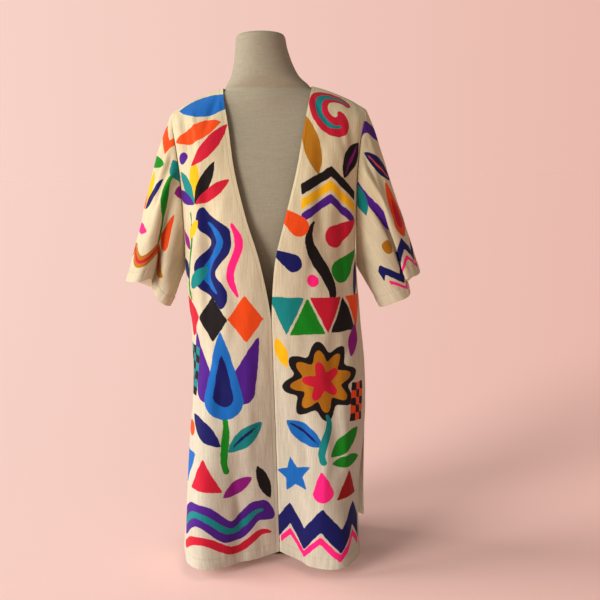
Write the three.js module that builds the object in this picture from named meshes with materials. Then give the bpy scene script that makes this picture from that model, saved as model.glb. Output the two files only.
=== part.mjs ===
// A long open-front jacket of cotton canvas, hanging on a limbless dress form and its stand.
// Millimetres, +Z up. The jacket faces -Y, so +X is its left side as worn. The origin is on the floor,
// on the flat underside of the stand, under the middle of the neck.
import * as THREE from "three";

// Driving dimensions
const WALL = 2; // thickness of the canvas
const SEAM = 0.36; // space between two panels where a seam joins them
const SHOULDER_ROWS = 12; // rows of a panel from the shoulder seam to the underarm
const SKIRT_ROWS = 18; // rows of a panel from the underarm to the hem
const SLEEVE_STEPS = 11; // steps of a sleeve from the armhole to the cuff
const FRONT_COLUMNS = 16; // columns across one front
const BACK_COLUMNS = 11; // columns across half the back
const NECK_COLUMNS = 7; // how many of them end at the back's neckline, the others at the shoulder seam
const SEAM_ROWS = 2; // table rows over which the back runs from its seam into its own curve
const UNDERARM = 6; // the table row where armhole and side seam meet
const EDGE_GAP = 1; // space between the two front edges where they meet
const FOLD_FADE = 0.12; // share of a panel's width in which a fold dies out at a seam
const SLEEVE_START = 0.5; // how far a sleeve starts outside the armhole edge
const NAPE_HALF = 60; // least half width of the back's neck curve
const FADE_POWER = 0.7; // how quickly a fold fades at its top and bottom; less is quicker
const LIP_STEEPNESS = 2.6; // how sharply a lipped fold steps up
const LIP_RUN = 1.1; // how soon its step dies away
const CURVE_STEPS = 24; // steps in which a plan curve is measured
const NORMAL_STEP = 0.002; // distance in table rows and shares over which a normal is taken
const SLEEVE_NORMAL_STEP = 0.004;

// Plan sections of a front, from the shoulder seam to the hem. The front edge first. level: its height,
// middle: how far the middle of the opening lies to the left side, open: half the opening, edgeY: how far
// forward the edge lies.
const EDGE_ROWS = [
  { level: 999, middle: 0, open: 91, edgeY: 0 },
  { level: 994, middle: 0, open: 90, edgeY: -19 },
  { level: 972, middle: 0, open: 86, edgeY: -46 },
  { level: 918, middle: 0.5, open: 75.5, edgeY: -74 },
  { level: 832, middle: -0.5, open: 61.5, edgeY: -101 },
  { level: 738, middle: -0.5, open: 38.5, edgeY: -122 },
  { level: 648, middle: 1.5, open: 14.5, edgeY: -125 },
  { level: 534, middle: 6, open: 0.5, edgeY: -114 },
  { level: 420, middle: 6.5, open: 0.5, edgeY: -100 },
  { level: 290, middle: 7.5, open: 0.5, edgeY: -86 },
  { level: 150, middle: 8.5, open: 0.5, edgeY: -76 },
  { level: 27, middle: 9.5, open: 0.5, edgeY: -67 },
];
// The rest of each section. drop: how much lower the row ends at the side than at the edge, dip: how much
// it sags between, lead and reach: direction in degrees and length of the plan curve's handle at the front
// edge, sideX and sideY: armhole or side seam, from the middle of the body, turn and wrap: the handle there.
const LEFT_SIDE_ROWS = [
  { drop: 48, dip: -6, lead: 0, reach: 36, sideX: 200, sideY: 0, turn: 90, wrap: 36 },
  { drop: 50, dip: -4, lead: 0, reach: 36, sideX: 199, sideY: -17, turn: 80, wrap: 34 },
  { drop: 52, dip: -2, lead: 6, reach: 38, sideX: 194, sideY: -36, turn: 52, wrap: 38 },
  { drop: 44, dip: 0, lead: 14, reach: 42, sideX: 186, sideY: -46, turn: 34, wrap: 46 },
  { drop: 24, dip: 0, lead: 16, reach: 46, sideX: 180, sideY: -48, turn: 28, wrap: 54 },
  { drop: 16, dip: 0, lead: 14, reach: 54, sideX: 178, sideY: -40, turn: 20, wrap: 62 },
  { drop: 18, dip: 0, lead: 16, reach: 60, sideX: 177, sideY: 0, turn: 0, wrap: 98 },
  { drop: 0, dip: 0, lead: 24, reach: 66, sideX: 182, sideY: 0, turn: 0, wrap: 108 },
  { drop: 0, dip: 0, lead: 32, reach: 70, sideX: 193, sideY: 0, turn: 0, wrap: 118 },
  { drop: 0, dip: 0, lead: 34, reach: 76, sideX: 193, sideY: -4, turn: 3, wrap: 126 },
  { drop: 0, dip: 2, lead: 36, reach: 80, sideX: 178, sideY: -34, turn: 10, wrap: 122 },
  { drop: 3, dip: 6, lead: 36, reach: 82, sideX: 181, sideY: -54, turn: 9, wrap: 124 },
];
const RIGHT_SIDE_ROWS = [
  { drop: 48, dip: -6, lead: 0, reach: 36, sideX: 200, sideY: 0, turn: 90, wrap: 36 },
  { drop: 50, dip: -4, lead: 0, reach: 36, sideX: 199, sideY: -17, turn: 80, wrap: 34 },
  { drop: 52, dip: -2, lead: 6, reach: 38, sideX: 194, sideY: -36, turn: 52, wrap: 38 },
  { drop: 44, dip: 0, lead: 14, reach: 42, sideX: 186, sideY: -46, turn: 34, wrap: 46 },
  { drop: 24, dip: 0, lead: 16, reach: 46, sideX: 179, sideY: -48, turn: 28, wrap: 54 },
  { drop: 16, dip: 0, lead: 14, reach: 54, sideX: 177, sideY: -40, turn: 20, wrap: 62 },
  { drop: 18, dip: 0, lead: 16, reach: 60, sideX: 181, sideY: 0, turn: 0, wrap: 98 },
  { drop: 0, dip: 0, lead: 22, reach: 72, sideX: 173, sideY: 0, turn: 0, wrap: 112 },
  { drop: 0, dip: 0, lead: 30, reach: 76, sideX: 169, sideY: 0, turn: 0, wrap: 124 },
  { drop: 0, dip: 0, lead: 32, reach: 82, sideX: 170, sideY: 0, turn: 0, wrap: 146 },
  { drop: 0, dip: 2, lead: 28, reach: 84, sideX: 187, sideY: -2, turn: 3, wrap: 168 },
  { drop: 3, dip: 8, lead: 24, reach: 86, sideX: 202, sideY: -6, turn: 7, wrap: 190 },
];
const frontRows = (sides, sign) =>
  EDGE_ROWS.map((edge, i) => ({ ...edge, ...sides[i], middle: sign * edge.middle }));
const LEFT_FRONT_ROWS = frontRows(LEFT_SIDE_ROWS, 1);
const RIGHT_FRONT_ROWS = frontRows(RIGHT_SIDE_ROWS, -1);

// Plan sections of the back, matched row by row to the fronts. rise: how much higher or lower than the
// front's level the centre back lies, middleY and reach: the centre back and its handle, sideY: the armhole
// or side seam, turn and wrap: its handle.
const BACK_ROWS = [
  { rise: -13, middleY: 62, reach: 58, sideY: 0, turn: 90, wrap: 50 },
  { rise: -17, middleY: 68, reach: 62, sideY: 17, turn: 80, wrap: 46 },
  { rise: -20, middleY: 76, reach: 70, sideY: 36, turn: 52, wrap: 44 },
  { rise: -18, middleY: 90, reach: 86, sideY: 46, turn: 34, wrap: 46 },
  { rise: -10, middleY: 106, reach: 96, sideY: 48, turn: 24, wrap: 52 },
  { rise: -8, middleY: 116, reach: 104, sideY: 40, turn: 10, wrap: 62 },
  { rise: -9, middleY: 122, reach: 112, sideY: 0, turn: -8, wrap: 106 },
  { rise: 0, middleY: 128, reach: 118, sideY: 0, turn: -8, wrap: 112 },
  { rise: 0, middleY: 138, reach: 122, sideY: 0, turn: -6, wrap: 120 },
  { rise: 0, middleY: 148, reach: 124, sideY: 0, turn: -4, wrap: 130 },
  { rise: 0, middleY: 156, reach: 118, sideY: 48, turn: 10, wrap: 84 },
  { rise: 0, middleY: 162, reach: 112, sideY: 96, turn: 34, wrap: 46 },
];
// The back's side edges where they part from the fronts, in the slits below the table row SLIT_ROW.
// lift: how much higher than the centre back they hang.
const SLIT_ROW = 9;
const BACK_SLIT_SIDES = {
  left: [{ x: 193, lift: 0 }, { x: 192, lift: 4 }, { x: 193, lift: 20 }],
  right: [{ x: 170, lift: 0 }, { x: 176, lift: 4 }, { x: 182, lift: 18 }],
};

// Folds of the body. at and foot: distance from the middle at the top and at the foot, top and bottom:
// heights where the fold fades out, width: half width, depth: how far it stands out, or in where below
// nought, lip: 1 for a fold that steps up sharply on its outer side, 0 for a soft round one.
const LEFT_FRONT_FOLDS = [
  { at: 110, foot: 108, top: 900, bottom: 640, width: 15, depth: -9, lip: 0 },
  { at: 152, foot: 157, top: 850, bottom: 520, width: 20, depth: 7, lip: 1 },
  { at: 128, foot: 134, top: 560, bottom: 120, width: 17, depth: -6, lip: 0 },
  { at: 70, foot: 82, top: 430, bottom: -60, width: 20, depth: 5, lip: 0 },
  { at: 112, foot: 122, top: 420, bottom: -60, width: 40, depth: 15, lip: 0 },
  { at: 156, foot: 166, top: 300, bottom: -60, width: 12, depth: -4, lip: 0 },
];
const RIGHT_FRONT_FOLDS = [
  { at: 126, foot: 132, top: 860, bottom: 500, width: 24, depth: 9, lip: 1 },
  { at: 152, foot: 146, top: 930, bottom: 840, width: 9, depth: -5, lip: 0 },
  { at: 84, foot: 96, top: 470, bottom: 250, width: 16, depth: -6, lip: 0 },
  { at: 66, foot: 74, top: 330, bottom: -60, width: 16, depth: -6, lip: 0 },
  { at: 132, foot: 146, top: 440, bottom: -60, width: 38, depth: 24, lip: 0 },
];
const BACK_FOLDS = [
  { at: -118, foot: -132, top: 880, bottom: -60, width: 24, depth: 8, lip: 0 },
  { at: -62, foot: -58, top: 620, bottom: -60, width: 22, depth: -7, lip: 0 },
  { at: 6, foot: 10, top: 520, bottom: -60, width: 24, depth: 5, lip: 0 },
  { at: 74, foot: 86, top: 700, bottom: -60, width: 22, depth: -8, lip: 0 },
  { at: 126, foot: 146, top: 860, bottom: -60, width: 22, depth: 8, lip: 0 },
];

// The cuff's edge, round from the shoulder side (turn 0) by the front (turn 90) to the underarm (turn 180)
// and back behind. out: distance from the middle of the body. Each has one deep fold in its front.
const LEFT_CUFF = [
  { turn: 0, out: 311, y: 6, z: 617 },
  { turn: 32, out: 303, y: -30, z: 612 },
  { turn: 58, out: 280, y: -46, z: 606 },
  { turn: 78, out: 286, y: -24, z: 592 },
  { turn: 98, out: 287, y: -38, z: 572 },
  { turn: 128, out: 258, y: -52, z: 559 },
  { turn: 160, out: 232, y: -30, z: 547 },
  { turn: 180, out: 227, y: -4, z: 546 },
  { turn: 215, out: 240, y: 38, z: 552 },
  { turn: 262, out: 272, y: 56, z: 574 },
  { turn: 318, out: 302, y: 42, z: 602 },
];
const RIGHT_CUFF = [
  { turn: 0, out: 310, y: 0, z: 604 },
  { turn: 32, out: 298, y: -40, z: 606 },
  { turn: 62, out: 270, y: -60, z: 608 },
  { turn: 84, out: 248, y: -44, z: 612 },
  { turn: 102, out: 254, y: -14, z: 596 },
  { turn: 124, out: 240, y: -36, z: 570 },
  { turn: 154, out: 222, y: -34, z: 555 },
  { turn: 180, out: 216, y: -6, z: 552 },
  { turn: 215, out: 228, y: 38, z: 556 },
  { turn: 262, out: 258, y: 58, z: 574 },
  { turn: 318, out: 298, y: 40, z: 596 },
];
// How the sleeve leaves the armhole and runs into the cuff at four places round it.
const SLEEVE_HANDLES = [
  { turn: 0, startOut: 26, startY: 0, startDown: 62, endOut: 34, endDown: 100 },
  { turn: 90, startOut: 44, startY: -22, startDown: 34, endOut: 26, endDown: 62 },
  { turn: 180, startOut: 14, startY: 0, startDown: 24, endOut: 14, endDown: 24 },
  { turn: 270, startOut: 44, startY: 22, startDown: 34, endOut: 26, endDown: 62 },
];

// Horizontal slices of the dress form. lean: how far its middle lies to the side, half: half width,
// front and back: depth before and behind the middle, power: 2 is an ellipse, more is squarer.
const FORM_SLICES = [
  { z: 330, lean: 0, half: 152, front: 76, back: 92, power: 2.3 },
  { z: 400, lean: 0, half: 150, front: 83, back: 96, power: 2.3 },
  { z: 470, lean: 0, half: 134, front: 84, back: 84, power: 2.2 },
  { z: 530, lean: 0, half: 118, front: 82, back: 74, power: 2.2 },
  { z: 590, lean: 0, half: 122, front: 87, back: 78, power: 2.2 },
  { z: 660, lean: 0, half: 134, front: 98, back: 88, power: 2.3 },
  { z: 735, lean: 0, half: 146, front: 108, back: 95, power: 2.3 },
  { z: 800, lean: 0, half: 152, front: 98, back: 94, power: 2.3 },
  { z: 850, lean: 0, half: 160, front: 88, back: 90, power: 2.3 },
  { z: 895, lean: 0, half: 171, front: 74, back: 78, power: 2.3 },
  { z: 926, lean: 0, half: 183, front: 63, back: 68, power: 2.1 },
  { z: 945, lean: 0, half: 187, front: 57, back: 62, power: 1.8 },
  { z: 953, lean: 0, half: 186, front: 55, back: 60, power: 1.7 },
  { z: 960, lean: 0, half: 174, front: 54, back: 58, power: 1.6 },
  { z: 975, lean: 0, half: 140, front: 53, back: 56, power: 1.6 },
  { z: 986, lean: 0, half: 115, front: 47, back: 51, power: 1.7 },
  { z: 994, lean: 0, half: 91, front: 46, back: 50, power: 1.8 },
  { z: 1004, lean: -2, half: 83, front: 49, back: 52, power: 2 },
  { z: 1020, lean: -6, half: 70, front: 53, back: 55, power: 2 },
  { z: 1045, lean: -9, half: 60, front: 53, back: 54, power: 2 },
  { z: 1075, lean: -12, half: 53, front: 51, back: 52, power: 2 },
  { z: 1096, lean: -13, half: 50, front: 49, back: 50, power: 2 },
  { z: 1104, lean: -13, half: 43, front: 42, back: 43, power: 2 },
  { z: 1108, lean: -13, half: 24, front: 23, back: 24, power: 2 },
];
const FORM_SIDES = 30; // points round a slice of the form
const FORM_BASE = FORM_SLICES[0].z;

// The stand
const BASE_WIDTH = 300;
const BASE_FRONT = -20; // far enough back to be hidden by the hem
const BASE_BACK = 165;
const BASE_THICK = 7;
const BASE_CORNER = 40;
const POLE_RADIUS = 12.5;
const POLE_Y = 8;
const POLE_COLLAR = 24; // radius of the collar where the pole is screwed to the base
const FLANGE_RADIUS = 55;
const FLANGE_THICK = 6;
const COLLAR_HIGH = 16;
const COLLAR_EDGE = 10; // height of the collar's upright edge, below its slope
const POLE_SIDES = 20;
const TOUCH = 0.3; // space between two hard pieces that touch

const rad = (degrees) => (degrees * Math.PI) / 180;
const lerp = (a, b, t) => a + (b - a) * t;

// One row of a table between its rows, smooth through all of them.
function rowAt(rows, at, firstGhost) {
  const last = rows.length - 1;
  const i = Math.min(Math.max(Math.floor(at), 0), last - 1);
  const t = at - i;
  const pick = (k) => {
    if (k < 0) return firstGhost;
    if (k > last) return null;
    return rows[k];
  };
  const a = rows[i];
  const b = rows[i + 1];
  const before = pick(i - 1);
  const after = pick(i + 2);
  const out = {};
  for (const key of Object.keys(a)) {
    const p0 = before ? before[key] : 2 * a[key] - b[key];
    const p3 = after ? after[key] : 2 * b[key] - a[key];
    const slopeA = (b[key] - p0) / 2;
    const slopeB = (p3 - a[key]) / 2;
    const h = t * t * (3 - 2 * t);
    const hA = t * (1 - t) * (1 - t);
    const hB = -t * t * (1 - t);
    out[key] = lerp(a[key], b[key], h) + hA * slopeA + hB * slopeB;
  }
  return out;
}

// The first row mirrored across the shoulder seam, so that a panel reaches the seam level.
function mirrored(row) {
  const out = { ...row };
  for (const key of ["edgeY", "sideY"]) if (key in out) out[key] = -out[key];
  return out;
}

function bezier(a, b, c, d, t) {
  const s = 1 - t;
  return s * s * s * a + 3 * s * s * t * b + 3 * s * t * t * c + t * t * t * d;
}

// A plan curve from start to end, with handles, at an even share of its length.
function planCurve(start, startHandle, endHandle, end, share) {
  const steps = CURVE_STEPS;
  const at = (t) => [0, 1].map((k) => bezier(start[k], startHandle[k], endHandle[k], end[k], t));
  if (share <= 0 || share >= 1) return at(share);
  const lengths = [0];
  let last = at(0);
  for (let i = 1; i <= steps; i += 1) {
    const next = at(i / steps);
    lengths.push(lengths[i - 1] + Math.hypot(next[0] - last[0], next[1] - last[1]));
    last = next;
  }
  const want = share * lengths[steps];
  let i = 1;
  while (lengths[i] < want) i += 1;
  return at((i - 1 + (want - lengths[i - 1]) / (lengths[i] - lengths[i - 1])) / steps);
}

// Height of all folds at a place, from its distance from the middle and its height.
function foldHeight(folds, across, z) {
  let sum = 0;
  for (const fold of folds) {
    const along = THREE.MathUtils.clamp((fold.top - z) / (fold.top - fold.bottom), 0, 1);
    const fade = Math.sin(Math.PI * along) ** FADE_POWER;
    const reachesHem = fold.bottom < 0;
    const window = reachesHem ? Math.sin((Math.PI / 2) * along) : fade;
    const s = (across - lerp(fold.at, fold.foot, along)) / fold.width;
    const round = Math.exp(-s * s);
    const step = Math.tanh(s * LIP_STEEPNESS) * Math.exp(-Math.abs(s) * LIP_RUN);
    sum += fold.depth * window * (fold.lip ? step : round);
  }
  return sum;
}

// Where a row's front edge lies. The two fronts meet edge to edge below the opening.
const frontEdge = (row) => row.middle + Math.max(row.open, EDGE_GAP / 2);

// The base surface of a front: at is a place in its table, share goes from the front edge to the side.
function frontBase(rows, at, share) {
  const row = rowAt(rows, at, mirrored(rows[1]));
  const lead = rad(row.lead);
  const turn = rad(row.turn);
  const edgeX = frontEdge(row);
  const sideY = Math.min(row.sideY, 0);
  const edge = [edgeX, row.edgeY];
  const side = [row.sideX, sideY];
  const edgeHandle = [edgeX + row.reach * Math.cos(lead), row.edgeY - row.reach * Math.sin(lead)];
  const sideHandle = [row.sideX - row.wrap * Math.sin(turn), sideY - row.wrap * Math.cos(turn)];
  const [x, y] = planCurve(edge, edgeHandle, sideHandle, side, share);
  const f = (x - edgeX) / (row.sideX - edgeX);
  return new THREE.Vector3(x, y, row.level - row.drop * f - row.dip * 4 * f * (1 - f));
}

// The top edge of half the back in plan: round the neck, then along the shoulder seam to the side.
function seamPlan(share, neckX, middleY, sideX, sideY) {
  const neckShare = NECK_COLUMNS / BACK_COLUMNS;
  if (share < neckShare) {
    const turn = (Math.PI / 2) * (share / neckShare);
    return [neckX * Math.sin(turn), middleY * Math.cos(turn)];
  }
  const t = (share - neckShare) / (1 - neckShare);
  return [lerp(neckX, sideX, t), sideY * t];
}

// Half the back: share goes from the centre back to the side that belongs to the given front.
function backBase(rows, slitSides, at, share) {
  const front = rowAt(rows, at, mirrored(rows[1]));
  const back = rowAt(BACK_ROWS, at, mirrored(BACK_ROWS[1]));
  let sideX = front.sideX;
  let lift = 0;
  if (at > SLIT_ROW) {
    const free = rowAt(slitSides, at - SLIT_ROW, { x: rows[SLIT_ROW - 1].sideX, lift: 0 });
    sideX = free.x;
    lift = free.lift;
  }
  const turn = rad(back.turn);
  const middle = [0, back.middleY];
  const sideY = Math.max(back.sideY, 0);
  const side = [sideX, sideY];
  const middleHandle = [back.reach, back.middleY];
  const sideHandle = [sideX - back.wrap * Math.sin(turn), sideY + back.wrap * Math.cos(turn)];
  const neckX = frontEdge(front);
  const bent = planCurve(middle, middleHandle, sideHandle, side, share);
  const onSeam = seamPlan(share, neckX, back.middleY, sideX, sideY);
  const pull = at < SEAM_ROWS ? (1 - at / SEAM_ROWS) ** 2 : 0;
  const [x, y] = [0, 1].map((k) => lerp(bent[k], onSeam[k], pull));
  const f = Math.max(0, x) / sideX;
  const shoulder = THREE.MathUtils.clamp((x - neckX) / (sideX - neckX), 0, 1);
  const upper = THREE.MathUtils.clamp(1 - at / UNDERARM, 0, 1);
  const slope = at < UNDERARM ? lerp(f, shoulder, upper) : f;
  const nape = back.rise * (1 - THREE.MathUtils.smoothstep(x, 0, Math.max(neckX, NAPE_HALF)));
  const sag = front.dip * 4 * slope * (1 - slope) * upper;
  return new THREE.Vector3(x, y, front.level - front.drop * slope - sag + nape + lift * f * f);
}

// Folds die out towards a seam or an edge, so that two panels still meet there.
const edgeFade = (share) => THREE.MathUtils.smoothstep(share, 0, FOLD_FADE);

// Adds the folds to a base surface, along its normal.
function folded(base, folds) {
  return (at, share) => {
    const p = base(at, share);
    const n = normalOf(base, at, share);
    return p.addScaledVector(n, foldHeight(folds, p.x, p.z) * edgeFade(share) * edgeFade(1 - share));
  };
}

// The outer normal of a surface whose two directions turn the same way as a front's.
function normalOf(surface, at, share) {
  const step = NORMAL_STEP;
  const down = surface(at + step, share).sub(surface(at - step, share));
  const along = surface(at, share + step).sub(surface(at, share - step));
  return down.cross(along).normalize();
}

// Makes a closed wall from rows of points and their normals. A ring closes on itself.
function wall(points, normals, ring) {
  const rowCount = points.length;
  const columnCount = points[0].length;
  const positions = [];
  const add = (p) => positions.push(p.x, p.y, p.z);
  points.forEach((row) => row.forEach(add));
  points.forEach((row, i) => row.forEach((p, j) => add(p.clone().addScaledVector(normals[i][j], -WALL))));
  const inner = rowCount * columnCount;
  const id = (i, j) => i * columnCount + (j % columnCount);
  const faces = [];
  const quad = (a, b, c, d) => faces.push(a, b, c, a, c, d);
  const spans = ring ? columnCount : columnCount - 1;
  for (let i = 0; i < rowCount - 1; i += 1) {
    for (let j = 0; j < spans; j += 1) {
      quad(id(i, j), id(i + 1, j), id(i + 1, j + 1), id(i, j + 1));
      quad(inner + id(i, j), inner + id(i, j + 1), inner + id(i + 1, j + 1), inner + id(i + 1, j));
    }
    if (!ring) {
      const right = columnCount - 1;
      quad(id(i, 0), inner + id(i, 0), inner + id(i + 1, 0), id(i + 1, 0));
      quad(id(i, right), id(i + 1, right), inner + id(i + 1, right), inner + id(i, right));
    }
  }
  const foot = rowCount - 1;
  for (let j = 0; j < spans; j += 1) {
    quad(id(0, j), id(0, j + 1), inner + id(0, j + 1), inner + id(0, j));
    quad(id(foot, j), inner + id(foot, j), inner + id(foot, j + 1), id(foot, j + 1));
  }
  return facingOut(positions, faces);
}

// A geometry from points and faces, turned so that its faces point out.
function facingOut(positions, faces) {
  let volume = 0;
  const v = (k) => new THREE.Vector3(positions[3 * k], positions[3 * k + 1], positions[3 * k + 2]);
  for (let k = 0; k < faces.length; k += 3) {
    volume += v(faces[k]).dot(v(faces[k + 1]).cross(v(faces[k + 2])));
  }
  if (volume < 0) faces.reverse();
  const geometry = new THREE.BufferGeometry();
  geometry.setAttribute("position", new THREE.Float32BufferAttribute(positions, 3));
  geometry.setIndex(faces);
  geometry.computeVertexNormals();
  return geometry;
}

// Moves points to the other side of the body.
const across = (p) => new THREE.Vector3(-p.x, p.y, p.z);

// The places in the tables that a panel's rows are made at.
const ROW_PLACES = [];
for (let i = 0; i <= SHOULDER_ROWS; i += 1) ROW_PLACES.push((UNDERARM * i) / SHOULDER_ROWS);
for (let i = 1; i <= SKIRT_ROWS; i += 1) {
  ROW_PLACES.push(lerp(UNDERARM, LEFT_FRONT_ROWS.length - 1, i / SKIRT_ROWS));
}

// Rows of points and normals of a surface, over shares of its width.
function gridOf(surface, shares) {
  const points = ROW_PLACES.map((at) => shares.map((share) => surface(at, share)));
  const normals = ROW_PLACES.map((at) => shares.map((share) => normalOf(surface, at, share)));
  return { points, normals };
}

// Moves a panel's shoulder and side edges back by half a seam, along the panel.
function easeSeams(points) {
  const half = SEAM / 2;
  const nudge = (p, towards) => p.addScaledVector(towards.clone().sub(p).normalize(), half);
  points[0].forEach((p, j) => nudge(p, points[1][j]));
  points.forEach((row) => nudge(row[row.length - 1], row[row.length - 2]));
}

const evenShares = (count) => Array.from({ length: count + 1 }, (_, i) => i / count);

function frontPanel(rows, folds, toOtherSide) {
  const surface = folded((at, share) => frontBase(rows, at, share), folds);
  const { points, normals } = gridOf(surface, evenShares(FRONT_COLUMNS));
  easeSeams(points);
  if (!toOtherSide) return wall(points, normals, false);
  return wall(
    points.map((row) => row.map(across)),
    normals.map((row) => row.map(across)),
    false,
  );
}

// The back is one panel: its right half mirrored, then its left half.
function backPanel() {
  const surfaceOf = (rows, slitSides, sign) => {
    const folds = BACK_FOLDS.map((fold) => ({ ...fold, at: sign * fold.at, foot: sign * fold.foot }));
    return (at, share) => {
      const base = (a, s) => backBase(rows, slitSides, a, s);
      const p = base(at, share);
      const n = normalOf(base, at, share).negate();
      return { p: p.addScaledVector(n, foldHeight(folds, p.x, p.z) * edgeFade(1 - share)), n };
    };
  };
  const left = surfaceOf(LEFT_FRONT_ROWS, BACK_SLIT_SIDES.left, 1);
  const right = surfaceOf(RIGHT_FRONT_ROWS, BACK_SLIT_SIDES.right, -1);
  const shares = evenShares(BACK_COLUMNS);
  const points = [];
  const normals = [];
  for (const at of ROW_PLACES) {
    const rightHalf = shares.map((share) => right(at, share));
    const leftHalf = shares.map((share) => left(at, share));
    const rightPoints = rightHalf.slice(1).reverse().map((s) => across(s.p));
    const rightNormals = rightHalf.slice(1).reverse().map((s) => across(s.n));
    const middle = leftHalf[0].p.clone().add(across(rightHalf[0].p)).multiplyScalar(0.5);
    const middleNormal = leftHalf[0].n.clone().add(across(rightHalf[0].n)).normalize();
    points.push([...rightPoints, middle, ...leftHalf.slice(1).map((s) => s.p)]);
    normals.push([...rightNormals, middleNormal, ...leftHalf.slice(1).map((s) => s.n)]);
  }
  const half = SEAM / 2;
  points.forEach((row) => {
    const end = row.length - 1;
    row[0].addScaledVector(row[1].clone().sub(row[0]).normalize(), half);
    row[end].addScaledVector(row[end - 1].clone().sub(row[end]).normalize(), half);
  });
  points[0].forEach((p, j) => p.addScaledVector(points[1][j].clone().sub(p).normalize(), half));
  return wall(points, normals, false);
}

// A closed curve round a table of named turns, as a row of its numbers at a turn in degrees.
function roundTable(table, turn) {
  const count = table.length;
  const wrapped = ((turn % 360) + 360) % 360;
  let i = 0;
  while (i < count - 1 && table[i + 1].turn <= wrapped) i += 1;
  const at = (k) => {
    const lap = Math.floor(k / count);
    const row = table[((k % count) + count) % count];
    return { ...row, turn: row.turn + 360 * lap };
  };
  const [p0, p1, p2, p3] = [at(i - 1), at(i), at(i + 1), at(i + 2)];
  const span = p2.turn - p1.turn;
  const t = (wrapped - p1.turn) / span;
  const out = {};
  for (const key of Object.keys(p1)) {
    const slopeA = ((p2[key] - p0[key]) / (p2.turn - p0.turn)) * span;
    const slopeB = ((p3[key] - p1[key]) / (p3.turn - p1.turn)) * span;
    const h = t * t * (3 - 2 * t);
    out[key] = lerp(p1[key], p2[key], h) + t * (1 - t) * (1 - t) * slopeA - t * t * (1 - t) * slopeB;
  }
  return out;
}

// The armhole's edge round from the shoulder by the front to the underarm and up the back.
function armhole(rows) {
  const places = ROW_PLACES.slice(0, SHOULDER_ROWS + 1);
  const front = places.map((at) => frontBase(rows, at, 1));
  const back = places.map((at) => backBase(rows, BACK_SLIT_SIDES.left, at, 1));
  const ring = [...front, ...back.slice(1, -1).reverse()];
  const backNormal = (at) => normalOf((a, s) => backBase(rows, BACK_SLIT_SIDES.left, a, s), at, 1).negate();
  const frontNormals = places.map((at) => normalOf((a, s) => frontBase(rows, a, s), at, 1));
  const ringNormals = [...frontNormals, ...places.map(backNormal).slice(1, -1).reverse()];
  const lengths = [0];
  ring.forEach((p, i) => lengths.push(lengths[i] + p.distanceTo(ring[(i + 1) % ring.length])));
  const half = SHOULDER_ROWS;
  const turns = ring.map((_, i) => {
    if (i <= half) return (180 * lengths[i]) / lengths[half];
    return 180 + (180 * (lengths[i] - lengths[half])) / (lengths[ring.length] - lengths[half]);
  });
  return { ring, ringNormals, turns };
}

function sleeve(rows, cuff, toOtherSide) {
  const { ring, ringNormals, turns } = armhole(rows);
  const count = ring.length;
  const edgeAt = (turn) => {
    const wrapped = ((turn % 360) + 360) % 360;
    let i = 0;
    while (i < count - 1 && turns[i + 1] <= wrapped) i += 1;
    const next = i === count - 1 ? 360 : turns[i + 1];
    const share = (wrapped - turns[i]) / (next - turns[i]);
    return ring[i].clone().lerp(ring[(i + 1) % count], share);
  };
  const surface = (turn, share) => {
    const start = edgeAt(turn);
    start.x += SLEEVE_START;
    const end = roundTable(cuff, turn);
    const handle = roundTable(SLEEVE_HANDLES, turn);
    const x = bezier(start.x, start.x + handle.startOut, end.out - handle.endOut, end.out, share);
    const y = bezier(start.y, start.y + handle.startY, end.y, end.y, share);
    const z = bezier(start.z, start.z - handle.startDown, end.z + handle.endDown, end.z, share);
    return new THREE.Vector3(x, y, z);
  };
  const shares = evenShares(SLEEVE_STEPS);
  const step = SLEEVE_NORMAL_STEP;
  const points = shares.map((share) => turns.map((turn) => surface(turn, share)));
  const normals = points.map((row, i) =>
    row.map((p, j) => {
      const round = row[(j + 1) % count].clone().sub(row[(j + count - 1) % count]);
      const share = shares[i];
      const down = surface(turns[j], share + step).sub(surface(turns[j], share - step));
      const normal = round.cross(down.clone()).normalize();
      if (i > 0) return normal;
      const turnedIn = THREE.MathUtils.smoothstep(ringNormals[j].dot(down.normalize()), -0.2, 0.5);
      return ringNormals[j].clone().lerp(normal, turnedIn).normalize();
    }),
  );
  if (!toOtherSide) return wall(points, normals, true);
  return wall(
    points.map((row) => row.map(across)),
    normals.map((row) => row.map(across)),
    true,
  );
}

// The dress form, slice by slice, flat underneath and closed by a shallow crown.
function dressForm() {
  const positions = [];
  const faces = [];
  FORM_SLICES.forEach((slice) => {
    for (let k = 0; k < FORM_SIDES; k += 1) {
      const a = (2 * Math.PI * k) / FORM_SIDES;
      const power = 2 / slice.power;
      const x = slice.lean + slice.half * Math.sign(Math.cos(a)) * Math.abs(Math.cos(a)) ** power;
      const depth = Math.sin(a) < 0 ? slice.front : slice.back;
      positions.push(x, depth * Math.sign(Math.sin(a)) * Math.abs(Math.sin(a)) ** power, slice.z);
    }
  });
  const last = FORM_SLICES.length - 1;
  const bottom = positions.length / 3;
  positions.push(0, 0, FORM_BASE);
  positions.push(FORM_SLICES[last].lean, 0, FORM_SLICES[last].z + 1);
  for (let k = 0; k < FORM_SIDES; k += 1) {
    const next = (k + 1) % FORM_SIDES;
    faces.push(bottom, next, k);
    faces.push(bottom + 1, last * FORM_SIDES + k, last * FORM_SIDES + next);
    for (let i = 0; i < last; i += 1) {
      const a = i * FORM_SIDES;
      const b = a + FORM_SIDES;
      faces.push(a + k, a + next, b + next, a + k, b + next, b + k);
    }
  }
  return facingOut(positions, faces);
}

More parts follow.
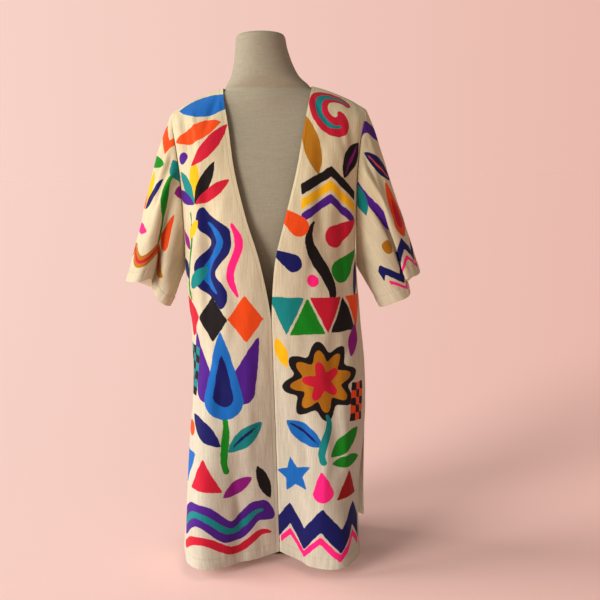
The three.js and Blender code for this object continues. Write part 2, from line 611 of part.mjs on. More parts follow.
function standPole() {
  const bottom = BASE_THICK + TOUCH;
  const top = FORM_BASE - TOUCH;
  const profile = [
    [0, bottom],
    [POLE_COLLAR, bottom],
    [POLE_COLLAR, bottom + COLLAR_EDGE],
    [POLE_RADIUS, bottom + COLLAR_HIGH],
    [POLE_RADIUS, top - FLANGE_THICK],
    [FLANGE_RADIUS, top - FLANGE_THICK],
    [FLANGE_RADIUS, top],
    [0, top],
  ].map(([radius, height]) => new THREE.Vector2(radius, height));
  const geometry = new THREE.LatheGeometry(profile, POLE_SIDES);
  geometry.rotateX(Math.PI / 2);
  return geometry;
}

function standBase() {
  const shape = new THREE.Shape();
  const halfWidth = BASE_WIDTH / 2;
  const corners = [
    [halfWidth - BASE_CORNER, BASE_FRONT + BASE_CORNER, -90],
    [halfWidth - BASE_CORNER, BASE_BACK - BASE_CORNER, 0],
    [-halfWidth + BASE_CORNER, BASE_BACK - BASE_CORNER, 90],
    [-halfWidth + BASE_CORNER, BASE_FRONT + BASE_CORNER, 180],
  ];
  corners.forEach(([x, y, start]) => shape.absarc(x, y, BASE_CORNER, rad(start), rad(start + 90), false));
  return new THREE.ExtrudeGeometry(shape, { depth: BASE_THICK, bevelEnabled: false, curveSegments: 8 });
}

const canvas = { color: "#e2d5ba", roughness: 0.92, metalness: 0 };
const linen = { color: "#a2967c", roughness: 0.9, metalness: 0 };
const steel = { color: "#3c3c3e", roughness: 0.5, metalness: 0.6 };

function mesh(name, geometry, finish) {
  const made = new THREE.Mesh(geometry, new THREE.MeshStandardMaterial(finish));
  made.name = name;
  return made;
}

const jacket = new THREE.Group();
jacket.add(
  mesh("left_front", frontPanel(LEFT_FRONT_ROWS, LEFT_FRONT_FOLDS, false), canvas),
  mesh("right_front", frontPanel(RIGHT_FRONT_ROWS, RIGHT_FRONT_FOLDS, true), canvas),
  mesh("back", backPanel(), canvas),
  mesh("left_sleeve", sleeve(LEFT_FRONT_ROWS, LEFT_CUFF, false), canvas),
  mesh("right_sleeve", sleeve(RIGHT_FRONT_ROWS, RIGHT_CUFF, true), canvas),
);

const pole = mesh("stand_pole", standPole(), steel);
pole.position.y = POLE_Y;
const stand = new THREE.Group();
stand.add(mesh("dress_form", dressForm(), linen), pole, mesh("stand_base", standBase(), steel));

const part = new THREE.Group();
part.add(jacket, stand);

export default part;
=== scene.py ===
"""Looks of a hand-painted canvas jacket on a dress form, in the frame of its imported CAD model.

Everything is in metres in the frame of the CAD, +Z up, with the jacket facing -Y. The cut tables are in
millimetres, as a cutter would write them.
"""

import logging
import math
from collections.abc import Callable, Mapping, Sequence
from dataclasses import dataclass
from enum import Enum

import bpy
import numpy as np
from mathutils import Matrix, Vector

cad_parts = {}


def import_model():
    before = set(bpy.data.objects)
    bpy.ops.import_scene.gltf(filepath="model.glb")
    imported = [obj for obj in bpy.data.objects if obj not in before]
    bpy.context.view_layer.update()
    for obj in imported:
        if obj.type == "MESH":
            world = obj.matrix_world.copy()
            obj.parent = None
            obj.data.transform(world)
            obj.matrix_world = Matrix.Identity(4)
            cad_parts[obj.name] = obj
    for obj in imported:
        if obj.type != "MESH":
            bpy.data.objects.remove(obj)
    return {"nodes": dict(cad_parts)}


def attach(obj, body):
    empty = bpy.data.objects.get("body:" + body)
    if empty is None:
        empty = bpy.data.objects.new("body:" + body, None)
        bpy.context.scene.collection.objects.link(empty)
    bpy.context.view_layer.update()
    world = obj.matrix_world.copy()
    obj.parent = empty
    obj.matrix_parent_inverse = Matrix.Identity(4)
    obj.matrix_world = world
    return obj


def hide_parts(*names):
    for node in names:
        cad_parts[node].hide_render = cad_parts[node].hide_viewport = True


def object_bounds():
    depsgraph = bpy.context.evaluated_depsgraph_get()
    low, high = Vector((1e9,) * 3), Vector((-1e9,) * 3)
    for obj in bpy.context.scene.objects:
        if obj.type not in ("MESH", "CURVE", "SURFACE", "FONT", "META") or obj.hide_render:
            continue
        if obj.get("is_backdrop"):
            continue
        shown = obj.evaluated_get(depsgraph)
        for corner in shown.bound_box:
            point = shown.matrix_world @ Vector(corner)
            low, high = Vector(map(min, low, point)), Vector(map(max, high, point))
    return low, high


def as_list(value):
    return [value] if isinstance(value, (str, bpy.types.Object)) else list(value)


LOG = logging.getLogger("jacket")
MM = 0.001
FAR = 60.0  # a distance in mm that is outside every painted shape
TINY = 1e-9
RIPPLE_MEANDER = 1.7  # how far a ripple strays sideways, in radians of its own wave
MIX_A, MIX_B, MIX_RESULT = 6, 7, 2  # the colour sockets of a Mix node
Grid = np.ndarray
Socket = bpy.types.NodeSocket
Size = tuple[float, float, float]


# Small helpers


def linear(code: str) -> tuple[float, float, float, float]:
    """Turns an sRGB hex colour into linear RGBA.

    Args:
        code: the colour as #RRGGBB.

    Returns:
        The linear colour with alpha 1.
    """
    parts = [int(code[i : i + 2], 16) / 255 for i in (1, 3, 5)]
    bent = [c / 12.92 if c <= 0.04045 else ((c + 0.055) / 1.055) ** 2.4 for c in parts]
    return (bent[0], bent[1], bent[2], 1.0)


def smoothstep(value: Grid, low: float, high: float) -> Grid:
    """Rises smoothly from 0 at low to 1 at high."""
    t = np.clip((value - low) / (high - low), 0, 1)
    return t * t * (3 - 2 * t)


def bezier(a: Grid, b: Grid, c: Grid, d: Grid, t: Grid) -> Grid:
    """The point of a cubic curve with ends a and d and handles b and c, at t."""
    s = 1 - t
    return s**3 * a + 3 * s * s * t * b + 3 * s * t * t * c + t**3 * d


def unit(vectors: Grid) -> Grid:
    """Vectors of the last axis brought to length 1."""
    return vectors / np.maximum(np.linalg.norm(vectors, axis=-1, keepdims=True), TINY)


def grid_normals(points: Grid, ring: bool = False) -> Grid:
    """Normals of a grid of points, down the first axis crossed with along the second.

    Args:
        points: rows and columns of points.
        ring: whether the columns close on themselves.

    Returns:
        Unit normals, one for each point.
    """
    down = np.gradient(points, axis=0)
    if ring:
        along = np.roll(points, -1, axis=1) - np.roll(points, 1, axis=1)
    else:
        along = np.gradient(points, axis=1)
    return unit(np.cross(down, along))


def run_length(points: Grid, axis: int) -> Grid:
    """Length run along one axis of a grid of points, from 0 at its start.

    Args:
        points: rows and columns of points, or a row of them.
        axis: the axis to run along.

    Returns:
        The length at each point.
    """
    step = np.linalg.norm(np.diff(points, axis=axis), axis=-1)
    start = np.zeros_like(np.take(step, [0], axis=axis))
    return np.concatenate([start, np.cumsum(step, axis=axis)], axis=axis)


def ripple(u: Grid, v: Grid, waves: Sequence[tuple[float, float, float, float]]) -> Grid:
    """A soft uneven relief, the sum of a few long waves.

    Args:
        u: distance across, in mm.
        v: distance down, in mm.
        waves: rows of height, wave length across, wave length down and shift, in mm and radians.

    Returns:
        The relief in mm.
    """
    total = np.zeros_like(u)
    for height, across, down, shift in waves:
        meander = RIPPLE_MEANDER * np.sin(2 * math.pi * v / down + shift)
        total += height * np.sin(2 * math.pi * u / across + meander + shift)
    return total


# Paints and motifs


class Paint(Enum):
    """Fabric paints, flat and matte, as sRGB."""

    BLUE = "#1161AE"
    ORANGE = "#E2480F"
    CRIMSON = "#C0142F"
    DARK_RED = "#98090F"
    TEAL = "#0C7C7B"
    OCHRE = "#A96B0C"
    YELLOW = "#EFB10A"
    GREEN = "#0E7F14"
    MAGENTA = "#860F76"
    VIOLET = "#47147D"
    NAVY = "#0E1055"
    PINK = "#F21E78"
    BLACK = "#140C0C"
    BROWN = "#2E2019"
    GREY = "#6D6E6A"


class Coat(Enum):
    """The order in which shapes were painted. A later coat lies over an earlier one."""

    FIRST = 0
    SECOND = 1
    THIRD = 2
    FOURTH = 3


@dataclass(frozen=True)
class Motif:
    """A painted shape on the flat cloth. Sizes in mm, angle in degrees."""

    u: float
    h: float
    paint: Paint
    angle: float = 0.0
    coat: Coat = Coat.FIRST

    def distance(self, u: Grid, h: Grid) -> Grid:
        """Distance to the shape's outline, less than 0 inside it.

        Args:
            u: places across the cloth.
            h: places up the cloth.

        Returns:
            The signed distance in mm.
        """
        cos, sin = math.cos(math.radians(self.angle)), math.sin(math.radians(self.angle))
        x, y = u - self.u, h - self.h
        return self.outline(x * cos + y * sin, y * cos - x * sin)

    def outline(self, x: Grid, y: Grid) -> Grid:
        """Signed distance in the shape's own axes."""
        raise NotImplementedError


@dataclass(frozen=True)
class Dot(Motif):
    """A round dot."""

    radius: float = 10.0

    def outline(self, x: Grid, y: Grid) -> Grid:
        """Signed distance in the shape's own axes."""
        return np.hypot(x, y) - self.radius


@dataclass(frozen=True)
class Leaf(Motif):
    """A leaf with two points, along its own y axis."""

    length: float = 60.0
    width: float = 20.0

    def outline(self, x: Grid, y: Grid) -> Grid:
        """Signed distance in the shape's own axes.

        Args:
            x: places along the x axis, in mm.
            y: places along the y axis, in mm.

        Returns:
            The distance in mm.
        """
        half, wide = self.length / 2, self.width / 2
        radius = (half * half + wide * wide) / (2 * wide)
        shift = radius - wide
        return np.maximum(np.hypot(x - shift, y), np.hypot(x + shift, y)) - radius


@dataclass(frozen=True)
class Drop(Motif):
    """A drop or a petal: round at its foot and pointed at length up its own y axis."""

    radius: float = 14.0
    length: float = 50.0
    fullness: float = 0.75  # less than 1 keeps the drop round further up

    def outline(self, x: Grid, y: Grid) -> Grid:
        """Signed distance in the shape's own axes."""
        t = np.clip(y / self.length, 0, 1)
        return np.hypot(x, y - t * self.length) - self.radius * (1 - t) ** self.fullness


@dataclass(frozen=True)
class Stroke(Motif):
    """A curved brush stroke through two bends, thickest at its middle.

    bend and sway push the two handles sideways; tip is the width at the far end.
    """

    length: float = 100.0
    bend: float = 20.0
    sway: float = -20.0
    width: float = 12.0
    foot: float = 2.0
    tip: float = 2.0
    steps: int = 48

    def outline(self, x: Grid, y: Grid) -> Grid:
        """Signed distance in the shape's own axes.

        Args:
            x: places along the x axis, in mm.
            y: places along the y axis, in mm.

        Returns:
            The distance in mm.
        """
        best = np.full_like(x, FAR)
        for t in np.linspace(0, 1, self.steps):
            px = bezier(0.0, self.bend, self.sway, 0.0, t)
            py = self.length * (t - 0.5)
            ends = self.foot * (1 - t) + self.tip * t
            radius = (ends + (self.width - ends) * math.sin(math.pi * t)) / 2
            best = np.minimum(best, np.hypot(x - px, y - py) - radius)
        return best


@dataclass(frozen=True)
class Scroll(Motif):
    """A spiral brush stroke from its outer end in to its middle."""

    outer: float = 34.0
    inner: float = 6.0
    turns: float = 1.2
    width: float = 14.0
    thinnest: float = 0.25  # the width at the ends, as a share of the width in the middle
    first: float = 0.06  # where on the swell of a whole brush stroke the scroll starts
    span: float = 0.9  # how much of that swell it takes
    steps: int = 72

    def outline(self, x: Grid, y: Grid) -> Grid:
        """Signed distance in the shape's own axes.

        Args:
            x: places along the x axis, in mm.
            y: places along the y axis, in mm.

        Returns:
            The distance in mm.
        """
        best = np.full_like(x, FAR)
        for t in np.linspace(0, 1, self.steps):
            radius = self.outer + (self.inner - self.outer) * t
            a = 2 * math.pi * self.turns * t
            swell = math.sin(math.pi * min(1.0, self.first + t * self.span))
            thick = self.width * (self.thinnest + (1 - self.thinnest) * swell) / 2
            away = np.hypot(x - radius * math.cos(a), y - radius * math.sin(a))
            best = np.minimum(best, away - thick)
        return best


@dataclass(frozen=True)
class Wave(Motif):
    """A wavy band along its own x axis, tapering to both ends."""

    length: float = 160.0
    swing: float = 12.0
    wave: float = 80.0
    width: float = 14.0
    taper: float = 0.25

    def outline(self, x: Grid, y: Grid) -> Grid:
        """Signed distance in the shape's own axes.

        Args:
            x: places along the x axis, in mm.
            y: places along the y axis, in mm.

        Returns:
            The distance in mm.
        """
        slope = 2 * math.pi * self.swing / self.wave
        rise = self.swing * np.sin(2 * math.pi * x / self.wave)
        steep = np.sqrt(1 + (slope * np.cos(2 * math.pi * x / self.wave)) ** 2)
        end = np.clip((self.length / 2 - np.abs(x)) / (self.taper * self.length), -0.5, 1)
        half = np.where(end > 0, self.width / 2 * np.sqrt(np.maximum(end, 0)), 0)
        return np.maximum(np.abs(y - rise) / steep - half, np.abs(x) - self.length / 2)


@dataclass(frozen=True)
class HalfDisc(Motif):
    """Half a round, flat side down."""

    radius: float = 40.0

    def outline(self, x: Grid, y: Grid) -> Grid:
        """Signed distance in the shape's own axes."""
        return np.maximum(np.hypot(x, y) - self.radius, -y)


@dataclass(frozen=True)
class Corner(Motif):
    """A triangle, square or star with straight or hollow sides."""

    radius: float = 24.0
    sides: int = 3
    hollow: float = 0.0
    stretch: float = 1.0

    def outline(self, x: Grid, y: Grid) -> Grid:
        """Signed distance in the shape's own axes.

        Args:
            x: places along the x axis, in mm.
            y: places along the y axis, in mm.

        Returns:
            The distance in mm.
        """
        y = y / self.stretch
        middle = math.pi / self.sides
        a = (np.arctan2(x, y) + middle) % (2 * middle) - middle
        r = np.hypot(x, y)
        inner = self.radius * math.cos(middle) * (1 - self.hollow)
        tip = np.array([0.0, self.radius])
        notch = np.array([inner * math.sin(middle), inner * math.cos(middle)])
        side = notch - tip
        normal = np.array([-side[1], side[0]]) / np.hypot(*side)
        px, py = r * np.sin(np.abs(a)), r * np.cos(a)
        return (px - tip[0]) * normal[0] + (py - tip[1]) * normal[1]


@dataclass(frozen=True)
class Checks(Motif):
    """Every second square of a chequered block, or the whole block."""

    cell: float = 14.0
    columns: int = 4
    rows: int = 3
    whole: bool = False

    def outline(self, x: Grid, y: Grid) -> Grid:
        """Signed distance in the shape's own axes.

        Args:
            x: places along the x axis, in mm.
            y: places along the y axis, in mm.

        Returns:
            The distance in mm.
        """
        wide, high = self.cell * self.columns / 2, self.cell * self.rows / 2
        block = np.maximum(np.abs(x) - wide, np.abs(y) - high)
        if self.whole:
            return block
        i, j = np.floor((x + wide) / self.cell), np.floor((y + high) / self.cell)
        fx, fy = (x + wide) / self.cell - i, (y + high) / self.cell - j
        near = np.minimum(np.minimum(fx, 1 - fx), np.minimum(fy, 1 - fy)) * self.cell
        return np.maximum(block, np.where((i + j) % 2 == 0, -near, near))


@dataclass(frozen=True)
class Zigzag(Motif):
    """A zigzag band along its own x axis."""

    length: float = 120.0
    tooth: float = 30.0
    swing: float = 12.0
    width: float = 8.0

    def outline(self, x: Grid, y: Grid) -> Grid:
        """Signed distance in the shape's own axes.

        Args:
            x: places along the x axis, in mm.
            y: places along the y axis, in mm.

        Returns:
            The distance in mm.
        """
        saw = np.abs((x / self.tooth) % 1 - 0.5) * 4 - 1
        slope = 4 * self.swing / self.tooth
        band = np.abs(y - self.swing * saw) / math.sqrt(1 + slope * slope) - self.width / 2
        return np.maximum(band, np.abs(x) - self.length / 2)


@dataclass(frozen=True)
class Flower(Motif):
    """A flower with round petals."""

    radius: float = 30.0
    petals: int = 6
    depth: float = 0.3
    slant: float = 0.8  # makes up for how the petals' sides slant across the way out

    def outline(self, x: Grid, y: Grid) -> Grid:
        """Signed distance in the shape's own axes."""
        edge = self.radius * (1 - self.depth + self.depth * np.cos(self.petals * np.arctan2(y, x)))
        return (np.hypot(x, y) - edge) * self.slant


@dataclass(frozen=True)
class Artwork:
    """All shapes painted on one piece of cloth."""

    motifs: tuple[Motif, ...]
    meeting: float = 3.0  # mm from both shapes at which they count as meeting

    def coats(self, u: Grid, h: Grid) -> list[tuple[Grid, Grid]]:
        """Works out each coat of paint. A shape that meets another goes into the next coat, over it.

        Args:
            u: places across the cloth, in mm.
            h: places up the cloth, in mm.

        Returns:
            For each coat the signed distance to its nearest shape and that shape's linear colour.
        """
        nearest = [np.full(u.shape, FAR) for _ in Coat]
        colour = [np.full((*u.shape, 4), linear(Paint.GREY.value)) for _ in Coat]
        last = len(Coat) - 1
        for motif in self.motifs:
            away = motif.distance(u, h)
            number = motif.coat.value
            while number < last and np.any(np.maximum(away, nearest[number]) < self.meeting):
                number += 1
            closer = away < nearest[number]
            nearest[number] = np.where(closer, away, nearest[number])
            colour[number][closer] = linear(motif.paint.value)
        return list(zip(nearest, colour, strict=True))


# Finishes


@dataclass(frozen=True)
class Recipe:
    """A material or a surround in the making. Its nodes are added one by one."""

    owner: bpy.types.Material | bpy.types.World

    def __post_init__(self) -> None:
        """Starts with no nodes."""
        self.owner.use_nodes = True
        self.owner.node_tree.nodes.clear()

    def add(
        self,
        kind: str,
        inputs: Mapping[str | int, object] | None = None,
        output: str | int = 0,
        **settings: object,
    ) -> Socket:
        """Adds a node with its settings, and links or sets its inputs.

        Args:
            kind: the node's type name after ShaderNode.
            inputs: values, or sockets to link, by input name or number.
            output: the output to give back.
            settings: the node's own properties.

        Returns:
            That output of the new node.
        """
        tree = self.owner.node_tree
        made = tree.nodes.new(f"ShaderNode{kind}")
        for name, value in settings.items():
            setattr(made, name, value)
        for name, value in (inputs or {}).items():
            if isinstance(value, Socket):
                tree.links.new(value, made.inputs[name])
            else:
                made.inputs[name].default_value = value
        return made.outputs[output]

    def close(self, kind: str, surface: Socket) -> None:
        """Joins the finished surface to the output of its kind."""
        output = self.owner.node_tree.nodes.new(f"ShaderNodeOutput{kind}")
        self.owner.node_tree.links.new(surface, output.inputs["Surface"])

    def shade(self, inputs: Mapping[str | int, object]) -> bpy.types.Material:
        """Ends a material with its principled shader.

        Args:
            inputs: the shader's values and links.

        Returns:
            The finished material.
        """
        self.close("Material", self.add("BsdfPrincipled", inputs))
        return self.owner

    def grain(self, place: Socket, size: Size, detail: float, rough: float = 0.6) -> Socket:
        """Noise whose grains have a size of their own along each axis.

        Args:
            place: where on the surface.
            size: how long a grain is along each axis, in the unit of the place.
            detail: how many finer layers lie over the grains.
            rough: how strong those are.

        Returns:
            The noise, from 0 to 1.
        """
        sized = self.add("VectorMath", {0: place, 1: tuple(1 / s for s in size)}, operation="MULTIPLY")
        return self.add("TexNoise", {"Vector": sized, "Scale": 1.0, "Detail": detail, "Roughness": rough})

    def layers(self, rows: Sequence[tuple[object, float]]) -> Socket:
        """Adds layers up, each by its own weight.

        Args:
            rows: each layer with its weight.

        Returns:
            Their sum.
        """
        total: object = 0.0
        for layer, weight in rows:
            total = self.add("Math", {0: layer, 1: weight, 2: total}, operation="MULTIPLY_ADD")
        return total


@dataclass(frozen=True)
class PaintedCanvas:
    """Natural cotton canvas, woven from slubby yarn and painted by hand with matte fabric paint.

    The slubs give uneven upright streaks, the weave shows through the paint, and the paint's edge wobbles.
    Painted light also lies in its colour: paler turned edges, a paler inner face, and cream that is darker
    and greyer low down and warmer higher up. Grains and distances are in mm.
    """

    light: str = "#D6C9A8"
    dark: str = "#B7A883"
    # painted shade: the cream low on the jacket, darker and greyer than above
    low_shaded_light: str = "#CCC6B4"
    low_shaded_dark: str = "#A9A18C"
    painted_light_from: float = 0.30  # painted light: height in metres from which the cream grows warmer; lower down it is darker and greyer
    painted_light_to: float = 0.80
    # painted light: the inner face is paler than the outer cream, as if lit where it shows past the fronts
    inside: str = "#F0E7CF"
    roughness: float = 0.93
    sheen: float = 0.06
    gloss: float = 0.2
    slub: Size = (2.4, 46.0, 1.0)
    weft: Size = (60.0, 2.2, 1.0)
    warp: Size = (1.9, 14.0, 1.0)  # real pitch 0.8, coarser so that it shows from here
    blotch: Size = (90.0, 140.0, 1.0)
    dash: Size = (3.2, 3.2, 1.0)
    pucker: Size = (5.5, 60.0, 1.0)
    stray: Size = (17.0, 17.0, 1.0)
    wobble: float = 1.1
    hem_fold: float = 22.0
    edge_fold: float = 7.0
    line_dim: float = 0.13  # how much darker the stitched line is
    edge_highlight: float = 0.1  # painted highlight: how much paler the turned edge is, as if it caught the light
    bump: float = 0.45

    def build(self) -> bpy.types.Material:
        """Makes the material: the bare cloth, the coats of paint over it and the sewing.

        Returns:
            The finished material.
        """
        recipe = Recipe(bpy.data.materials.new("painted cotton canvas"))
        add = recipe.add
        flat = add("VectorMath", {0: add("UVMap", uv_map="cloth"), "Scale": 1 / MM}, operation="SCALE")
        slub = recipe.grain(flat, self.slub, 3.0)
        weft = recipe.grain(flat, self.weft, 2.0)
        tone = recipe.layers(((weft, 0.2), (slub, 0.9), (recipe.grain(flat, self.blotch, 2.0), 0.35)))
        colour, cover = self._paint(recipe, self._bare(recipe, tone), tone, flat)
        hem = add("Attribute", output="Fac", attribute_name="hem_mm")
        edge = add("Attribute", output="Fac", attribute_name="edge_mm")
        line = self._line(recipe, flat, hem, edge)
        # painted highlight: the turned edges are paler; the stitched line darkens the cloth
        rim = add("MapRange", {"Value": edge, "From Min": 6.0, "From Max": 3.5, "To Max": self.edge_highlight})
        level = recipe.layers(((1.0, 1.0), (line, -self.line_dim), (rim, 1.0)))
        warp = recipe.grain(flat, self.warp, 1.0)
        pucker = self._pucker(recipe, flat, hem)
        relief = recipe.layers(
            ((warp, 0.5), (slub, 0.7), (weft, 0.3), (pucker, 1.6), (line, -0.8), (cover, 0.06))
        )
        return recipe.shade(
            {
                "Base Color": add("VectorMath", {0: colour, "Scale": level}, operation="SCALE"),
                "Roughness": self.roughness,
                "Sheen Weight": self.sheen,
                "Specular IOR Level": self.gloss,
                "Normal": add("Bump", {"Height": relief, "Distance": self.bump * MM, "Strength": 1.0}),
            }
        )

    def _bare(self, recipe: Recipe, tone: Socket) -> Socket:
        """The unpainted cloth, with painted light in its colour: darker and greyer towards the hem, warmer
        higher up, and palest inside.

        Args:
            recipe: the material in the making.
            tone: how light the yarn is.

        Returns:
            The cloth's colour.
        """
        add = recipe.add
        share = add("MapRange", {"Value": tone, "From Min": 0.42, "From Max": 1.02})
        height = add("SeparateXYZ", {"Vector": add("TexCoord", output="Object")}, "Z")
        # painted light: the cream grows warmer with height, darker and greyer lower down
        warm = add("MapRange", {"Value": height, "From Min": self.painted_light_from, "From Max": self.painted_light_to})
        inner = add("Attribute", output="Fac", attribute_name="inside")
        low, high = (
            add("Mix", {"Factor": share, MIX_A: linear(a), MIX_B: linear(b)}, MIX_RESULT, data_type="RGBA")
            for a, b in ((self.low_shaded_dark, self.low_shaded_light), (self.dark, self.light))
        )
        outer = add("Mix", {"Factor": warm, MIX_A: low, MIX_B: high}, MIX_RESULT, data_type="RGBA")
        # painted light: the inner face takes the paler cream
        pale = {"Factor": inner, MIX_A: outer, MIX_B: linear(self.inside)}
        return add("Mix", pale, MIX_RESULT, data_type="RGBA")

    def _paint(self, recipe: Recipe, colour: Socket, tone: Socket, flat: Socket) -> tuple[Socket, Socket]:
        """Lays the coats of paint over the cloth, one after the other.

        Args:
            recipe: the material in the making.
            colour: the colour of the bare cloth.
            tone: how light the yarn is, which shows through the paint.
            flat: the place on the flat cloth, in mm.

        Returns:
            The colour with its paint, and where there is paint.
        """
        add = recipe.add
        noise = recipe.grain(flat, self.stray, 2.5)
        wobble = add("Math", {0: noise, 1: 4 * self.wobble, 2: -2 * self.wobble}, operation="MULTIPLY_ADD")
        wear = {"From Min": 0.45, "From Max": 1.15, "To Min": 0.8, "To Max": 1.12}
        worn = add("MapRange", {"Value": tone, **wear})
        cover: object = 0.0
        for coat in Coat:
            name = coat.name.lower()
            away = add("Attribute", output="Fac", attribute_name=f"paint_{name}")
            tint = add("Attribute", output="Color", attribute_name=f"tint_{name}")
            brushed = add("Math", {0: away, 1: wobble}, operation="ADD")
            inside = add("MapRange", {"Value": brushed, "From Min": 0.5, "From Max": -0.5})
            shade = add("VectorMath", {0: tint, "Scale": worn}, operation="SCALE")
            colour = add("Mix", {"Factor": inside, MIX_A: colour, MIX_B: shade}, MIX_RESULT, data_type="RGBA")
            cover = add("Math", {0: cover, 1: inside}, operation="MAXIMUM")
        return colour, cover

    def _line(self, recipe: Recipe, flat: Socket, hem: Socket, edge: Socket) -> Socket:
        """The stitched lines along the hem and the turned edges, stronger and weaker from stitch to stitch.

        Args:
            recipe: the material in the making.
            flat: the place on the flat cloth, in mm.
            hem: distance to the hem.
            edge: distance to the nearest turned edge.

        Returns:
            How strong the line is.
        """
        add = recipe.add
        lines = []
        for away, fold in ((hem, self.hem_fold), (edge, self.edge_fold)):
            past = add("Math", {0: away, 1: fold}, operation="SUBTRACT")
            off = add("Math", {0: past}, operation="ABSOLUTE")
            lines.append(add("MapRange", {"Value": off, "From Min": 1.3, "From Max": 0.3}))
        line = add("Math", dict(enumerate(lines)), operation="MAXIMUM")
        dash = recipe.grain(flat, self.dash, 1.0)
        stitch = add("Math", {0: dash, 1: 0.5, 2: 0.45}, operation="MULTIPLY_ADD")
        return add("Math", {0: line, 1: stitch}, operation="MULTIPLY")

    def _pucker(self, recipe: Recipe, flat: Socket, hem: Socket) -> Socket:
        """Fine upright puckers in the turned hem.

        Args:
            recipe: the material in the making.
            flat: the place on the flat cloth, in mm.
            hem: distance to the hem.

        Returns:
            The relief of the puckers.
        """
        fade = {"Value": hem, "From Min": self.hem_fold + 16, "From Max": self.hem_fold - 4}
        near = recipe.add("MapRange", fade)
        return recipe.add("Math", {0: recipe.grain(flat, self.pucker, 1.0), 1: near}, operation="MULTIPLY")


@dataclass(frozen=True)
class Linen:
    """Plain-woven linen stretched over a form. Its thread gives a fine cross-hatched, matte grey-beige."""

    light: str = "#A19984"
    dark: str = "#8C8572"
    thread: float = 1.7  # real pitch 0.7 mm, drawn coarser so that it shows at this distance
    run: float = 24.0  # mm of thread from one change of tone to the next
    roughness: float = 0.9
    gloss: float = 0.2
    bump: float = 0.25

    def build(self) -> bpy.types.Material:
        """Makes the material.

        Returns:
            The finished material.
        """
        recipe = Recipe(bpy.data.materials.new("linen over foam"))
        place = recipe.add("TexCoord", output="Object")
        thin, long = self.thread * MM, self.run * MM
        threads = [recipe.grain(place, size, 1.5, 0.5) for size in ((thin, thin, long), (long, long, thin))]
        both = recipe.add("Math", dict(enumerate(threads)), operation="ADD")
        share = recipe.add("MapRange", {"Value": both, "From Min": 0.45, "From Max": 1.55})
        ends = {"Factor": share, MIX_A: linear(self.dark), MIX_B: linear(self.light)}
        return recipe.shade(
            {
                "Base Color": recipe.add("Mix", ends, MIX_RESULT, data_type="RGBA"),
                "Roughness": self.roughness,
                "Specular IOR Level": self.gloss,
                "Normal": recipe.add("Bump", {"Height": both, "Distance": self.bump * MM, "Strength": 0.6}),
            }
        )


@dataclass(frozen=True)
class PowderCoat:
    """Black powder-coated steel. The coat's fine orange-peel breaks its satin gloss."""

    colour: str = "#2B2B2D"
    peel: float = 1.4
    smoothest: float = 0.38
    roughest: float = 0.52
    bump: float = 0.05

    def build(self) -> bpy.types.Material:
        """Makes the material.

        Returns:
            The finished material.
        """
        recipe = Recipe(bpy.data.materials.new("powder-coated steel"))
        place = recipe.add("TexCoord", output="Object")
        peel = recipe.grain(place, (self.peel * MM,) * 3, 1.0, 0.5)
        gloss = {"Value": peel, "To Min": self.smoothest, "To Max": self.roughest}
        return recipe.shade(
            {
                "Base Color": linear(self.colour),
                "Roughness": recipe.add("MapRange", gloss),
                "Normal": recipe.add("Bump", {"Height": peel, "Distance": self.bump * MM, "Strength": 0.4}),
            }
        )


@dataclass(frozen=True)
class Backdrop:
    """Pale pink studio paper, even and matte, a little darker to the right, away from the light."""

    left: str = "#F8D2C7"
    right: str = "#E7B6A9"
    spread: float = 0.36
    near: float = 2.0  # metres within which the change of tone is evened out

    def build(self, light: tuple[float, float, float]) -> bpy.types.Material:
        """Makes the material.

        Args:
            light: how much light of each colour the open floor receives.

        Returns:
            The material, which shows the paper's colours in that light.
        """
        recipe = Recipe(bpy.data.materials.new("studio paper"))
        place = recipe.add("TexCoord", output="Object")
        length = recipe.add("VectorMath", {0: place}, "Value", operation="LENGTH")
        away = recipe.add("Math", {0: length, 1: self.near}, operation="ADD")
        x = recipe.add("SeparateXYZ", {"Vector": place}, "X")
        side = recipe.add("Math", {0: x, 1: away}, operation="DIVIDE")
        left, right = (
            (*(c / k for c, k in zip(linear(code), light)), 1.0) for code in (self.left, self.right)
        )
        colour = self.blend(recipe, side, left, right)
        return recipe.shade({"Base Color": colour, "Roughness": 1.0, "Specular IOR Level": 0.0})

    def blend(self, recipe: Recipe, side: Socket, left: Sequence[float], right: Sequence[float]) -> Socket:
        """Mixes the two ends of the paper by how far to the side a place lies.

        Args:
            recipe: the material or surround in the making.
            side: how far to the side, left less than 0.
            left: the colour of the left end.
            right: the colour of the right end.

        Returns:
            The paper's colour.
        """
        share = recipe.add("MapRange", {"Value": side, "From Min": -self.spread, "From Max": self.spread})
        ends = {"Factor": share, MIX_A: left, MIX_B: right}
        return recipe.add("Mix", ends, MIX_RESULT, data_type="RGBA")


# Cut of the jacket


@dataclass(frozen=True)
class Table:
    """A short table with named columns, smooth between its rows."""

    columns: tuple[str, ...]
    rows: tuple[tuple[float, ...], ...]

    def at(self, places: Grid, ghost: Mapping[str, float] | None = None) -> dict[str, Grid]:
        """Reads the table between its rows.

        Args:
            places: row numbers, whole or between rows.
            ghost: what a row before the first would hold.

        Returns:
            Each column's values at the places.
        """
        values = np.array(self.rows, float)
        last = len(values) - 1
        i = np.clip(np.floor(places).astype(int), 0, last - 1)
        t = np.asarray(places, float) - i
        out = {}
        for k, name in enumerate(self.columns):
            a, b = values[i, k], values[i + 1, k]
            first = 2 * a - b if ghost is None else np.full_like(a, ghost[name])
            before = np.where(i > 0, values[np.maximum(i - 1, 0), k], first)
            after = np.where(i + 2 <= last, values[np.minimum(i + 2, last), k], 2 * b - a)
            h = t * t * (3 - 2 * t)
            rise = t * (1 - t) ** 2 * (b - before) / 2 - t * t * (1 - t) * (after - a) / 2
            out[name] = a + (b - a) * h + rise
        return out

    def mirrored(self, number: int) -> dict[str, float]:
        """A row mirrored across the shoulder seam."""
        row = dict(zip(self.columns, self.rows[number], strict=True))
        return {key: -value if key in ("edgeY", "sideY") else value for key, value in row.items()}


